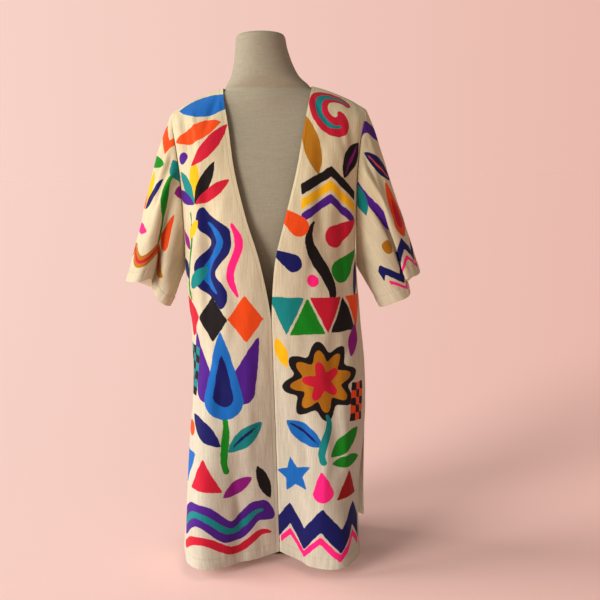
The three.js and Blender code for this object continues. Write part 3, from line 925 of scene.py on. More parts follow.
@dataclass(frozen=True)
class RoundTable:
    """A table of named turns round a ring, smooth all the way round."""

    columns: tuple[str, ...]
    rows: tuple[tuple[float, ...], ...]

    def at(self, turns: Grid) -> dict[str, Grid]:
        """Reads the table at turns in degrees.

        Args:
            turns: places round the ring.

        Returns:
            Each column's values at the turns.
        """
        values = np.array(self.rows, float)
        count = len(values)
        lap = np.concatenate([values, values, values])
        lap[:count, 0] -= 360
        lap[2 * count :, 0] += 360
        wrapped = np.asarray(turns, float) % 360
        i = np.searchsorted(lap[:, 0], wrapped, side="right") - 1
        span = lap[i + 1, 0] - lap[i, 0]
        t = (wrapped - lap[i, 0]) / span
        out = {}
        for k, name in enumerate(self.columns):
            a, b = lap[i, k], lap[i + 1, k]
            slope_a = (b - lap[i - 1, k]) / (lap[i + 1, 0] - lap[i - 1, 0]) * span
            slope_b = (lap[i + 2, k] - a) / (lap[i + 2, 0] - lap[i, 0]) * span
            h = t * t * (3 - 2 * t)
            out[name] = a + (b - a) * h + t * (1 - t) ** 2 * slope_a - t * t * (1 - t) * slope_b
        return out


FOLD_SWELL = 0.7  # less than 1 makes a fold reach its full depth sooner
LIP_SHARPNESS = 2.6
LIP_FADE = 1.1


@dataclass(frozen=True)
class Fold:
    """A soft fold: where it runs, its half width, its depth, and whether it steps up sharply.

    It runs from at, level with top, to foot, level with bottom. One whose bottom is below 0 goes on
    into the hem. Sizes are in mm.
    """

    at: float
    foot: float
    top: float
    bottom: float
    width: float
    depth: float
    lip: int = 0

    def height(self, across: Grid, z: Grid) -> Grid:
        """How far the fold stands out at a place.

        Args:
            across: distance from the middle of the body, or of the flat sleeve.
            z: height, or height on the flat sleeve.

        Returns:
            The height of the fold in mm.
        """
        along = np.clip((self.top - z) / (self.top - self.bottom), 0, 1)
        open_ended = np.sin(math.pi / 2 * along)
        window = open_ended if self.bottom < 0 else np.sin(math.pi * along) ** FOLD_SWELL
        s = (across - (self.at + (self.foot - self.at) * along)) / self.width
        lip = np.tanh(s * LIP_SHARPNESS) * np.exp(-np.abs(s) * LIP_FADE)
        return self.depth * window * (lip if self.lip else np.exp(-s * s))


EDGE_COLUMNS = ("level", "middle", "open", "edgeY")
SIDE_COLUMNS = ("drop", "dip", "lead", "reach", "sideX", "sideY", "turn", "wrap")
EDGE_ROWS = (
    (999, 0, 91, 0),
    (994, 0, 90, -19),
    (972, 0, 86, -46),
    (918, 0.5, 75.5, -74),
    (832, -0.5, 61.5, -101),
    (738, -0.5, 38.5, -122),
    (648, 1.5, 14.5, -125),
    (534, 6, 0.5, -114),
    (420, 6.5, 0.5, -100),
    (290, 7.5, 0.5, -86),
    (150, 8.5, 0.5, -76),
    (27, 9.5, 0.5, -67),
)
SHOULDER_ROWS = (
    (48, -6, 0, 36, 200, 0, 90, 36),
    (50, -4, 0, 36, 199, -17, 80, 34),
    (52, -2, 6, 38, 194, -36, 52, 38),
    (44, 0, 14, 42, 186, -46, 34, 46),
)
LEFT_SIDE_ROWS = (
    *SHOULDER_ROWS,
    (24, 0, 16, 46, 180, -48, 28, 54),
    (16, 0, 14, 54, 178, -40, 20, 62),
    (18, 0, 16, 60, 177, 0, 0, 98),
    (0, 0, 24, 66, 182, 0, 0, 108),
    (0, 0, 32, 70, 193, 0, 0, 118),
    (0, 0, 34, 76, 193, -4, 3, 126),
    (0, 2, 36, 80, 178, -34, 10, 122),
    (3, 6, 36, 82, 181, -54, 9, 124),
)
RIGHT_SIDE_ROWS = (
    *SHOULDER_ROWS,
    (24, 0, 16, 46, 179, -48, 28, 54),
    (16, 0, 14, 54, 177, -40, 20, 62),
    (18, 0, 16, 60, 181, 0, 0, 98),
    (0, 0, 22, 72, 173, 0, 0, 112),
    (0, 0, 30, 76, 169, 0, 0, 124),
    (0, 0, 32, 82, 170, 0, 0, 146),
    (0, 2, 28, 84, 187, -2, 3, 168),
    (3, 8, 24, 86, 202, -6, 7, 190),
)
BACK_ROWS = Table(
    ("rise", "middleY", "reach", "sideY", "turn", "wrap"),
    (
        (-13, 62, 58, 0, 90, 50),
        (-17, 68, 62, 17, 80, 46),
        (-20, 76, 70, 36, 52, 44),
        (-18, 90, 86, 46, 34, 46),
        (-10, 106, 96, 48, 24, 52),
        (-8, 116, 104, 40, 10, 62),
        (-9, 122, 112, 0, -8, 106),
        (0, 128, 118, 0, -8, 112),
        (0, 138, 122, 0, -6, 120),
        (0, 148, 124, 0, -4, 130),
        (0, 156, 118, 48, 10, 84),
        (0, 162, 112, 96, 34, 46),
    ),
)
# rows of the tables
UNDERARM = 6
WAIST_ROW = 7
SLIT_ROW = 9
LAST_ROW = len(EDGE_ROWS) - 1
SEAM_ROWS = 2  # rows within which the back bends over to the shoulder seam
# levels and lengths in mm
WAIST_LEVEL = EDGE_ROWS[WAIST_ROW][0]
SLIT_TOP = 280
SLIT_FADE = 20
SHOULDER_LEVEL = 1000
SHOULDER_FADE = 60
NAPE_HALF = 60
SLEEVE_START = 0.5  # gap to the armhole
CLOTH = 1.2  # thickness as drawn, over the real 0.6 mm, so that its edge shows
# shares of a panel's width
BACK_PARTS = 11
NECK_SHARE = 7 / BACK_PARTS
FOLD_FADE = 0.12
# steps of the curves that are measured
CURVE_STEPS = 24
ARMHOLE_STEPS = 220
COLUMN_STEPS = 1500


@dataclass(frozen=True)
class FrontCut:
    """The cut of one front and of the side of the back that joins it."""

    sign: int
    sides: tuple[tuple[float, ...], ...]
    slit: Table

    @property
    def table(self) -> Table:
        """The front's whole table.

        Returns:
            The columns of the edge and of the side, in one table.
        """
        rows = tuple(
            (level, self.sign * middle, opened, edge_y, *side)
            for (level, middle, opened, edge_y), side in zip(EDGE_ROWS, self.sides, strict=True)
        )
        return Table(EDGE_COLUMNS + SIDE_COLUMNS, rows)

    def read(self, places: Grid) -> dict[str, Grid]:
        """Reads the front's table, which goes on as its mirror image across the shoulder seam.

        Args:
            places: row places.

        Returns:
            Each column's values at the places, and where the front edge lies.
        """
        row = self.table.at(places, self.table.mirrored(1))
        row["edgeX"] = row["middle"] + np.maximum(row["open"], 0.5)
        return row

    def front(self, places: Grid, shares: Grid) -> Grid:
        """Points of the front without folds.

        Args:
            places: row places, from 0 at the shoulder seam to the hem.
            shares: shares of the width, from the front edge to the side.

        Returns:
            Rows and columns of points in mm.
        """
        row = self.read(places)
        lead, turn = np.radians(row["lead"]), np.radians(row["turn"])
        side_y = np.minimum(row["sideY"], 0)
        edge = np.stack([row["edgeX"], row["edgeY"]], -1)
        side = np.stack([row["sideX"], side_y], -1)
        edge_handle = edge + row["reach"][:, None] * np.stack([np.cos(lead), -np.sin(lead)], -1)
        side_handle = side - row["wrap"][:, None] * np.stack([np.sin(turn), np.cos(turn)], -1)
        plan = plan_points(edge, edge_handle, side_handle, side, shares)
        f = (plan[..., 0] - row["edgeX"][:, None]) / (row["sideX"] - row["edgeX"])[:, None]
        z = row["level"][:, None] - row["drop"][:, None] * f - row["dip"][:, None] * 4 * f * (1 - f)
        return np.concatenate([plan, z[..., None]], -1)

    def back(self, places: Grid, shares: Grid) -> Grid:
        """Points of this side's half of the back without folds.

        Args:
            places: row places, from 0 at the shoulder seam to the hem.
            shares: shares of the width, from the centre back to the side.

        Returns:
            Rows and columns of points in mm.
        """
        row = self.read(places)
        back = BACK_ROWS.at(places, BACK_ROWS.mirrored(1))
        above = self.table.rows[SLIT_ROW - 1][self.table.columns.index("sideX")]
        free = self.slit.at(np.maximum(places - SLIT_ROW, 0), {"x": above, "lift": 0})
        below = places > SLIT_ROW
        side_x = np.where(below, free["x"], row["sideX"])
        lift = np.where(below, free["lift"], 0)
        turn = np.radians(back["turn"])
        middle = np.stack([np.zeros_like(side_x), back["middleY"]], -1)
        side = np.stack([side_x, np.maximum(back["sideY"], 0)], -1)
        middle_handle = np.stack([back["reach"], back["middleY"]], -1)
        side_handle = side + back["wrap"][:, None] * np.stack([-np.sin(turn), np.cos(turn)], -1)
        bent = plan_points(middle, middle_handle, side_handle, side, shares)
        pull = np.clip(1 - places / SEAM_ROWS, 0, None)[:, None, None] ** 2
        plan = bent + pull * (seam_points(row["edgeX"], back["middleY"], side, shares) - bent)
        x = plan[..., 0]
        neck_x = row["edgeX"][:, None]
        f = np.maximum(0, x) / side_x[:, None]
        shoulder = np.clip((x - neck_x) / (side_x[:, None] - neck_x), 0, 1)
        upper = np.clip(1 - places / UNDERARM, 0, 1)[:, None]
        slope = f + (shoulder - f) * upper
        nape_width = np.maximum(neck_x, NAPE_HALF)
        nape = back["rise"][:, None] * (1 - smoothstep(x / nape_width, 0, 1))
        sag = row["dip"][:, None] * 4 * slope * (1 - slope) * upper
        z = row["level"][:, None] - row["drop"][:, None] * slope - sag + nape + lift[:, None] * f * f
        return np.concatenate([plan, z[..., None]], -1)


def seam_points(neck_x: Grid, middle_y: Grid, side: Grid, shares: Grid) -> Grid:
    """The top edge of half the back in plan: round the neck, then along the shoulder seam.

    Args:
        neck_x: where the neck's curve meets the seam, for each row.
        middle_y: how far back the centre back lies, for each row.
        side: the end of the seam, for each row.
        shares: shares of the width.

    Returns:
        Rows and columns of plan points.
    """
    turn = math.pi / 2 * np.clip(shares / NECK_SHARE, 0, 1)
    t = np.clip((shares - NECK_SHARE) / (1 - NECK_SHARE), 0, 1)
    x = neck_x[:, None] * np.sin(turn) + (side[:, :1] - neck_x[:, None]) * t
    y = middle_y[:, None] * np.cos(turn) * (shares < NECK_SHARE) + side[:, 1:] * t
    return np.stack([x, y], -1)


def plan_points(start: Grid, start_handle: Grid, end_handle: Grid, end: Grid, shares: Grid) -> Grid:
    """Points at even shares of the length of each row's plan curve.

    Args:
        start: first point of each row, in plan.
        start_handle: its handle.
        end_handle: the handle of the last point.
        end: last point of each row.
        shares: shares of the length.

    Returns:
        Rows and columns of plan points.
    """
    steps = np.linspace(0, 1, CURVE_STEPS + 1)
    ends = [v[:, None, :] for v in (start, start_handle, end_handle, end)]
    rough = bezier(*ends, steps[None, :, None])
    run = run_length(rough, 1)
    t = np.array([np.interp(shares * length[-1], length, steps) for length in run])
    return bezier(*ends, t[..., None])


def even_places(cut: Callable[[Grid], Grid], first: float, last: float, step: float) -> Grid:
    """Row places that are an even distance apart down the cloth.

    Args:
        cut: gives the points of one column at row places.
        first: first place.
        last: last place.
        step: distance between rows in mm.

    Returns:
        The places.
    """
    dense = np.linspace(first, last, COLUMN_STEPS)
    run = run_length(cut(dense), 0)
    count = int(round(run[-1] / step))
    return np.interp(np.linspace(0, run[-1], count + 1), run, dense)


LEFT_CUT = FrontCut(1, LEFT_SIDE_ROWS, Table(("x", "lift"), ((193, 0), (192, 4), (193, 20))))
RIGHT_CUT = FrontCut(-1, RIGHT_SIDE_ROWS, Table(("x", "lift"), ((170, 0), (176, 4), (182, 18))))


@dataclass
class Shell:
    """A thin shell of cloth: its outer points and what is known of each of them, in mm.

    u and h are the place on the flat cloth, hem and edge the distances to those, and wrap is the length
    round a ring.
    """

    name: str
    points: Grid
    normals: Grid
    u: Grid
    h: Grid
    hem: Grid
    edge: Grid
    artwork: Artwork
    ring: bool = False
    thickness: float | Grid = CLOTH
    mirror: bool = False
    wrap: float = 0.0

    def build(self, material: bpy.types.Material) -> bpy.types.Object:
        """Makes the closed mesh with its paint and its flat map.

        Args:
            material: the cloth's finish.

        Returns:
            The new object.
        """
        thick = np.broadcast_to(self.thickness, self.u.shape)[..., None]
        outer, inner = self.points, self.points - self.normals * thick
        rows, columns = outer.shape[:2]
        if self.mirror:
            outer, inner = outer * (-1, 1, 1), inner * (-1, 1, 1)
        vertices = np.concatenate([outer.reshape(-1, 3), inner.reshape(-1, 3)])
        faces = self._faces(rows, columns)
        volume = 0.0
        for a, b, c in ((0, 1, 2), (0, 2, 3)):
            p, q, r = (vertices[faces[:, k]] for k in (a, b, c))
            volume += float(np.einsum("ij,ij->i", p, np.cross(q, r)).sum())
        if volume < 0:
            faces = faces[:, ::-1]
        mesh = bpy.data.meshes.new(self.name)
        mesh.from_pydata((vertices * MM).tolist(), [], faces.tolist())
        self._attributes(mesh, rows, columns)
        made = bpy.data.objects.new(self.name, mesh)
        bpy.context.scene.collection.objects.link(made)
        mesh.materials.append(material)
        smooth(made)
        LOG.info("%s: %d x %d points", self.name, rows, columns)
        return made

    def _faces(self, rows: int, columns: int) -> Grid:
        """Quads of the outer side, the inner side and the edges.

        Args:
            rows: rows of points on one side.
            columns: columns of points on one side.

        Returns:
            A row of four point numbers for each quad.
        """
        spans = columns if self.ring else columns - 1
        i, j = np.meshgrid(np.arange(rows - 1), np.arange(spans), indexing="ij")
        here, right = i * columns + j, i * columns + (j + 1) % columns
        below, across = here + columns, right + columns
        shift = rows * columns
        outer = np.stack([here, below, across, right], -1).reshape(-1, 4)
        inner = np.stack([here, right, across, below], -1).reshape(-1, 4) + shift
        k = np.arange(spans)
        step = (k + 1) % columns
        foot = (rows - 1) * columns
        top_rim = np.stack([k, step, step + shift, k + shift], -1)
        foot_rim = np.stack([k + foot, k + foot + shift, step + foot + shift, step + foot], -1)
        parts = [outer, inner, top_rim, foot_rim]
        if not self.ring:
            down = np.arange(rows - 1) * columns
            last = down + columns - 1
            parts.append(np.stack([down, down + shift, down + columns + shift, down + columns], -1))
            parts.append(np.stack([last, last + columns, last + columns + shift, last + shift], -1))
        return np.concatenate(parts)

    def _attributes(self, mesh: bpy.types.Mesh, rows: int, columns: int) -> None:
        """Writes the flat map, the paint and the distances to hem and edge.

        Args:
            mesh: the shell's mesh.
            rows: rows of points on one side.
            columns: columns of points on one side.
        """
        count = rows * columns
        layers = [
            ("hem_mm", self.hem, self.hem),
            ("edge_mm", self.edge, self.edge),
            ("inside", np.zeros(count), np.ones(count)),
        ]
        for coat, (away, colour) in zip(Coat, self.artwork.coats(self.u, self.h), strict=True):
            name = coat.name.lower()
            layers.append((f"paint_{name}", away, np.full(count, FAR)))
            tints = np.concatenate([colour.reshape(-1, 4)] * 2).astype(np.float32)
            tint = mesh.attributes.new(f"tint_{name}", "FLOAT_COLOR", "POINT")
            tint.data.foreach_set("color", tints.reshape(-1))
        for name, outer, inner in layers:
            both = np.concatenate([outer.reshape(-1), inner.reshape(-1)]).astype(np.float32)
            mesh.attributes.new(name, "FLOAT", "POINT").data.foreach_set("value", both)
        corner = np.zeros(len(mesh.loops), np.int32)
        mesh.loops.foreach_get("vertex_index", corner)
        u = np.concatenate([self.u.reshape(-1)] * 2)[corner]
        v = np.concatenate([self.h.reshape(-1)] * 2)[corner]
        if self.ring:
            quads = u.reshape(-1, 4)
            past_seam = quads.max(1, keepdims=True) - quads > self.wrap / 2
            u = np.where(past_seam, quads + self.wrap, quads).reshape(-1)
        layer = mesh.uv_layers.new(name="cloth")
        layer.data.foreach_set("uv", (np.stack([u, v], -1) * MM).astype(np.float32).reshape(-1))


def smooth(made: bpy.types.Object, angle: float = 50.0) -> None:
    """Shades an object smooth and keeps its sharper edges crisp.

    Args:
        made: the object.
        angle: the turn in degrees from which an edge is crisp.
    """
    bpy.ops.object.select_all(action="DESELECT")
    made.select_set(True)
    bpy.context.view_layer.objects.active = made
    bpy.ops.object.shade_smooth_by_angle(angle=math.radians(angle))
    bpy.ops.object.select_all(action="DESELECT")


@dataclass
class Panel:
    """Settings that all panels of the jacket share, in mm."""

    step: float = 3.4
    rumple: tuple[tuple[float, float, float, float], ...] = (
        (0.7, 92.0, 310.0, 0.4),
        (0.45, 51.0, 190.0, 2.1),
        (0.3, 33.0, 120.0, 4.4),
    )
    roll_depth: float = 0.9
    roll_width: float = 4.0
    hem_width: float = 24.0
    hem_rise: float = 0.35
    hem_step: float = 4.0
    stitch_at: float = 22.5
    stitch_width: float = 2.5
    pucker_height: float = 0.4
    pucker_at: float = 20.0
    pucker_width: float = 12.0
    pucker_wave: float = 15.0
    pucker_stray: float = 2.2  # radians by which the puckers stray from even steps
    pucker_drift: float = 23.0

    def roll_edges(self, points: Grid, normals: Grid, seam: Grid, hem: Grid, u: Grid) -> Grid:
        """Rolls the cloth in at its seams and puckers its hem.

        Args:
            points: rows and columns of points.
            normals: their normals.
            seam: distance of each point to the nearest seam.
            hem: distance of each point to the hem.
            u: distance across the cloth.

        Returns:
            The moved points.
        """
        roll = -self.roll_depth * np.exp(-seam / self.roll_width)
        stitch = np.exp(-(((hem - self.stitch_at) / self.stitch_width) ** 2))
        band = self.hem_rise * (smoothstep(self.hem_width - hem, 0, self.hem_step) - stitch)
        near = np.exp(-(((hem - self.pucker_at) / self.pucker_width) ** 2))
        stray = self.pucker_stray * np.sin(u / self.pucker_drift)
        pucker = self.pucker_height * near * np.sin(2 * math.pi * u / self.pucker_wave + stray)
        return points + normals * (roll + band + pucker)[..., None]

    def flat_height(self, places: Grid, column: Grid, like: Grid) -> Grid:
        """Heights on the flat cloth. They agree with the real ones at the waist.

        Args:
            places: row places.
            column: length run down one column of points.
            like: any grid of the panel's shape.

        Returns:
            The height of each point.
        """
        waist = np.interp(WAIST_ROW, places, column)
        return (WAIST_LEVEL + waist - column)[:, None] + np.zeros_like(like)


@dataclass
class Front(Panel):
    """One front of the jacket, from the shoulder seam to the hem."""

    name: str = "left_front_cloth"
    cut: FrontCut = LEFT_CUT
    folds: tuple[Fold, ...] = ()
    creases: tuple[Fold, ...] = ()
    artwork: Artwork = Artwork(())
    plumb: float = 0.55  # share of the width at which the rows are spaced evenly
    waist_steps: int = 60

    def shell(self) -> Shell:
        """Works out the front's shell.

        Returns:
            The shell.
        """
        plumb = np.array([self.plumb])
        places = even_places(lambda p: self.cut.front(p, plumb)[:, 0], 0, LAST_ROW, self.step)
        waist = self.cut.front(np.array([float(WAIST_ROW)]), np.linspace(0, 1, self.waist_steps))
        width = float(run_length(waist, 1)[0, -1])
        shares = np.linspace(0, 1, int(round(width / self.step)) + 1)
        base = self.cut.front(places, shares)
        normals = grid_normals(base)
        start, end = smoothstep(shares, 0, FOLD_FADE), smoothstep(1 - shares, 0, FOLD_FADE)
        relief = sum(f.height(base[..., 0], base[..., 2]) for f in (*self.folds, *self.creases))
        relief = relief * (start * end)
        across, down = run_length(base, 1), run_length(base, 0)
        u = self.cut.read(places)["edgeX"][:, None] + across
        h = self.flat_height(places, down[:, len(shares) // 2], u)
        lower = smoothstep(SHOULDER_LEVEL - base[..., 2], 0, SHOULDER_FADE)
        relief = relief + ripple(u, h, self.rumple) * np.minimum(start, end) * lower
        points = base + normals * relief[..., None]
        normals = grid_normals(points)
        hem = down[-1:, :] - down
        to_side = across[:, -1:] - across
        below = smoothstep(SLIT_TOP - base[..., 2], 0, SLIT_FADE)
        slit = to_side + (1 - below) * FAR
        edge = np.minimum(across, slit)
        seam = np.minimum(to_side + below * FAR, down)
        points = self.roll_edges(points, normals, seam, hem, u)
        flip = self.cut.sign < 0
        return Shell(self.name, points, normals, u, h, hem, edge, self.artwork, mirror=flip)


@dataclass
class Back(Panel):
    """The back, one piece of cloth from side to side."""

    name: str = "back_cloth"
    spans: int = 7  # columns to each eleventh of half the back, so that one ends at the neck's corner
    plumb: float = 0.5  # share of half the width at which the rows are spaced evenly
    beside: int = 21  # columns beside the centre back, where height is measured
    neck_half: float = 90.0  # mm from the middle within which the top edge is free and not a seam
    folds: tuple[Fold, ...] = ()
    artwork: Artwork = Artwork(())

    def shell(self) -> Shell:
        """Works out the back's shell.

        Returns:
            The shell.
        """
        plumb = np.array([self.plumb])
        places = even_places(lambda p: LEFT_CUT.back(p, plumb)[:, 0], 0, LAST_ROW, self.step)
        shares = np.linspace(0, 1, BACK_PARTS * self.spans + 1)
        left = LEFT_CUT.back(places, shares)
        right = RIGHT_CUT.back(places, shares) * (-1, 1, 1)
        base = np.concatenate([right[:, :0:-1], (left[:, :1] + right[:, :1]) / 2, left[:, 1:]], axis=1)
        middle = len(shares) - 1
        normals = grid_normals(base)
        normals = normals * np.sign(normals[..., 1].mean())
        both = np.concatenate([shares[:0:-1], shares])
        fade = smoothstep(1 - both, 0, FOLD_FADE)
        relief = sum(f.height(base[..., 0], base[..., 2]) for f in self.folds) * fade
        down = run_length(base, 0)
        across = run_length(base, 1)
        u = across - across[:, middle : middle + 1]
        h = self.flat_height(places, down[:, middle + self.beside], u)
        lower = smoothstep(SHOULDER_LEVEL - base[..., 2], 0, SHOULDER_FADE)
        relief = relief + ripple(u, h, self.rumple) * fade * lower
        points = base + normals * relief[..., None]
        normals = grid_normals(points)
        normals = normals * np.sign(normals[..., 1].mean())
        hem = down[-1:, :] - down
        to_side = np.minimum(across, across[:, -1:] - across)
        below = smoothstep(SLIT_TOP - base[..., 2], 0, SLIT_FADE)
        neck = (np.abs(base[:1, :, 0]) < self.neck_half) * 1.0
        edge = np.minimum(to_side + (1 - below) * FAR, down + (1 - neck) * FAR)
        seam = np.minimum(to_side + below * FAR, down + neck * FAR)
        points = self.roll_edges(points, normals, seam, hem, u)
        return Shell(self.name, points, normals, u, h, hem, edge, self.artwork)


CUFF_COLUMNS = ("turn", "out", "y", "z")
LEFT_CUFF = RoundTable(
    CUFF_COLUMNS,
    (
        (0, 311, 6, 617),
        (32, 303, -30, 612),
        (58, 280, -46, 606),
        (78, 286, -24, 592),
        (98, 287, -38, 572),
        (128, 258, -52, 559),
        (160, 232, -30, 547),
        (180, 227, -4, 546),
        (215, 240, 38, 552),
        (262, 272, 56, 574),
        (318, 302, 42, 602),
    ),
)
RIGHT_CUFF = RoundTable(
    CUFF_COLUMNS,
    (
        (0, 310, 0, 604),
        (32, 298, -40, 606),
        (62, 270, -60, 608),
        (84, 248, -44, 612),
        (102, 254, -14, 596),
        (124, 240, -36, 570),
        (154, 222, -34, 555),
        (180, 216, -6, 552),
        (215, 228, 38, 556),
        (262, 258, 58, 574),
        (318, 298, 40, 596),
    ),
)
SLEEVE_HANDLES = RoundTable(
    ("turn", "start_out", "start_y", "start_down", "end_out", "end_down"),
    (
        (0, 26, 0, 62, 34, 100),
        (90, 44, -22, 34, 26, 62),
        (180, 14, 0, 24, 14, 24),
        (270, 44, 22, 34, 26, 62),
    ),
)


@dataclass
class Sleeve(Panel):
    """One sleeve, one piece round the arm with its seam under the arm."""

    name: str = "left_sleeve_cloth"
    cut: FrontCut = LEFT_CUT
    cuff: RoundTable = LEFT_CUFF
    creases: tuple[Fold, ...] = ()
    artwork: Artwork = Artwork(())
    columns: int = 170
    rows: int = 104
    still: float = 30.0  # mm below the armhole within which the folds grow to their depth
    thin: float = 0.35  # thickness at the armhole, where the seam hides the edge
    thin_run: float = 10.0

    def armhole(self, turns: Grid) -> Grid:
        """Points of the armhole's edge.

        Args:
            turns: places in degrees, from the shoulder round by the front.

        Returns:
            A point for each turn.
        """
        places = np.linspace(0, UNDERARM, ARMHOLE_STEPS)
        front = self.cut.front(places, np.array([1.0]))[:, 0]
        back = self.cut.back(places, np.array([1.0]))[::-1, 0]
        out = np.zeros((len(turns), 3))
        wrapped = turns % 360
        for side, points, start in ((wrapped <= 180, front, 0), (wrapped > 180, back, 180)):
            run = run_length(points, 0)
            share = (wrapped[side] - start) / 180 * run[-1]
            out[side] = np.stack([np.interp(share, run, points[:, k]) for k in range(3)], -1)
        return out

    def shell(self) -> Shell:
        """Works out the sleeve's shell.

        Returns:
            The shell.
        """
        turns = -180 + 360 * np.arange(self.columns) / self.columns
        shares = np.linspace(0, 1, self.rows)[:, None]
        start = self.armhole(turns)
        start[:, 0] += SLEEVE_START
        end = self.cuff.at(turns)
        handle = SLEEVE_HANDLES.at(turns)
        x, y, z = start.T
        x = bezier(x, x + handle["start_out"], end["out"] - handle["end_out"], end["out"], shares)
        y = bezier(y, y + handle["start_y"], end["y"], end["y"], shares)
        z = bezier(z, z - handle["start_down"], end["z"] + handle["end_down"], end["z"], shares)
        base = np.stack([x, y, z], -1)
        normals = grid_normals(base, ring=True)
        down = run_length(base, 0)
        closed = np.concatenate([base, base[:, :1]], axis=1)
        around = run_length(closed, 1)
        middle = self.columns // 2
        wrap = float(around[:, -1].mean())
        u = (around[:, :-1] - around[:, middle : middle + 1]) * (wrap / around[:, -1:])
        h = down[-1:, :] - down
        centre = base.mean(axis=1, keepdims=True)
        normals = normals * np.sign(np.einsum("ijk,ijk->ij", normals, base - centre).mean())
        fade = smoothstep(down, 0, self.still)
        relief = (ripple(u, h, self.rumple) + sum(f.height(u, h) for f in self.creases)) * fade
        points = base + normals * relief[..., None]
        points = self.roll_edges(points, normals, down, h, u)
        return Shell(
            self.name,
            points,
            normals,
            u,
            h,
            hem=h,
            edge=np.full_like(h, FAR),
            artwork=self.artwork,
            ring=True,
            thickness=self.thin + (CLOTH - self.thin) * smoothstep(down, 0, self.thin_run),
            mirror=self.cut.sign < 0,
            wrap=wrap,
        )


# What the jacket hangs on


@dataclass
class DressForm:
    """A limbless dress form: torso, shoulders and a smooth neck, covered in linen."""

    slices: Table = Table(
        ("z", "lean", "half", "front", "back", "power"),
        (
            (330, 0, 152, 76, 92, 2.3),
            (400, 0, 150, 83, 96, 2.3),
            (470, 0, 134, 84, 84, 2.2),
            (530, 0, 118, 82, 74, 2.2),
            (590, 0, 122, 87, 78, 2.2),
            (660, 0, 134, 98, 88, 2.3),
            (735, 0, 146, 108, 95, 2.3),
            (800, 0, 152, 98, 94, 2.3),
            (850, 0, 160, 88, 90, 2.3),
            (895, 0, 171, 74, 78, 2.3),
            (926, 0, 183, 63, 68, 2.1),
            (945, 0, 187, 57, 62, 1.8),
            (953, 0, 186, 55, 60, 1.7),
            (960, 0, 174, 54, 58, 1.6),
            (975, 0, 140, 53, 56, 1.6),
            (986, 0, 115, 47, 51, 1.7),
            (994, 0, 91, 46, 50, 1.8),
            (1004, -2, 83, 49, 52, 2),
            (1020, -6, 70, 53, 55, 2),
            (1045, -9, 60, 53, 54, 2),
            (1075, -12, 53, 51, 52, 2),
            (1096, -13, 50, 49, 50, 2),
            (1104, -13, 43, 42, 43, 2),
            (1108, -13, 24, 23, 24, 2),
        ),
    )
    sides: int = 144
    rows_between: int = 8
    crown: float = 1109.0
    tuck_level: float = 747.0
    tuck_depth: float = 0.8
    tuck_half: float = 150.0  # half the form's width at the tuck
    tuck_run: float = 3.0

    def build(self, material: bpy.types.Material) -> bpy.types.Object:
        """Makes the form as one closed mesh.

        Args:
            material: the form's finish.

        Returns:
            The new object.
        """
        last = len(self.slices.rows) - 1
        row = self.slices.at(np.linspace(0, last, last * self.rows_between + 1))
        a = 2 * math.pi * np.arange(self.sides) / self.sides
        power = (2 / row["power"])[:, None]
        cos, sin = np.cos(a)[None, :], np.sin(a)[None, :]
        near = np.exp(-(((row["z"] - self.tuck_level) / self.tuck_run) ** 2))[:, None]
        tuck = 1 - self.tuck_depth / self.tuck_half * near
        x = row["lean"][:, None] + tuck * row["half"][:, None] * np.sign(cos) * np.abs(cos) ** power
        depth = np.where(sin < 0, row["front"][:, None], row["back"][:, None])
        y = tuck * depth * np.sign(sin) * np.abs(sin) ** power
        z = np.broadcast_to(row["z"][:, None], x.shape)
        rings = np.stack([x, y, z], -1)
        count = rings.shape[0]
        poles = np.array([[0, 0, self.slices.rows[0][0]], [row["lean"][-1], 0, self.crown]], float)
        vertices = np.concatenate([rings.reshape(-1, 3), poles])
        i, j = np.meshgrid(np.arange(count - 1), np.arange(self.sides), indexing="ij")
        here, right = i * self.sides + j, i * self.sides + (j + 1) % self.sides
        quads = np.stack([here, right, right + self.sides, here + self.sides], -1).reshape(-1, 4).tolist()
        bottom, top = count * self.sides, count * self.sides + 1
        head = (count - 1) * self.sides
        caps = [[bottom, (k + 1) % self.sides, k] for k in range(self.sides)]
        caps += [[top, head + k, head + (k + 1) % self.sides] for k in range(self.sides)]
        mesh = bpy.data.meshes.new("linen_form")
        mesh.from_pydata((vertices * MM).tolist(), [], quads + caps)
        made = bpy.data.objects.new("linen_form", mesh)
        bpy.context.scene.collection.objects.link(made)
        mesh.materials.append(material)
        smooth(made)
        return made


# Folds and paint of each piece

LEFT_FOLDS = (
    Fold(110, 108, 900, 640, 15, -9),
    Fold(152, 157, 850, 520, 20, 7, 1),
    Fold(128, 134, 560, 120, 17, -6),
    Fold(70, 82, 430, -60, 20, 5),
    Fold(112, 122, 420, -60, 40, 15),
    Fold(156, 166, 300, -60, 12, -4),
)
LEFT_CREASES = (
    Fold(172, 164, 945, 780, 9, -4.6),
    Fold(150, 168, 930, 850, 7, 3.0),
    Fold(96, 80, 720, 540, 10, -3.5),
    Fold(140, 112, 640, 470, 12, 3.2),
    Fold(62, 74, 430, 170, 11, -4.1),
    Fold(30, 38, 520, 260, 12, 3.0),
    Fold(146, 156, 420, 120, 9, 3.5),
    Fold(84, 128, 990, 905, 7, -2.4),
    Fold(118, 96, 330, 60, 8, 3.0),
    Fold(176, 130, 520, 400, 8, -3.2),
)
RIGHT_FOLDS = (
    Fold(126, 132, 860, 500, 24, 9, 1),
    Fold(152, 146, 930, 840, 9, -5),
    Fold(84, 96, 470, 250, 16, -6),
    Fold(66, 74, 330, -60, 16, -6),
    Fold(132, 146, 440, -60, 38, 24),
)
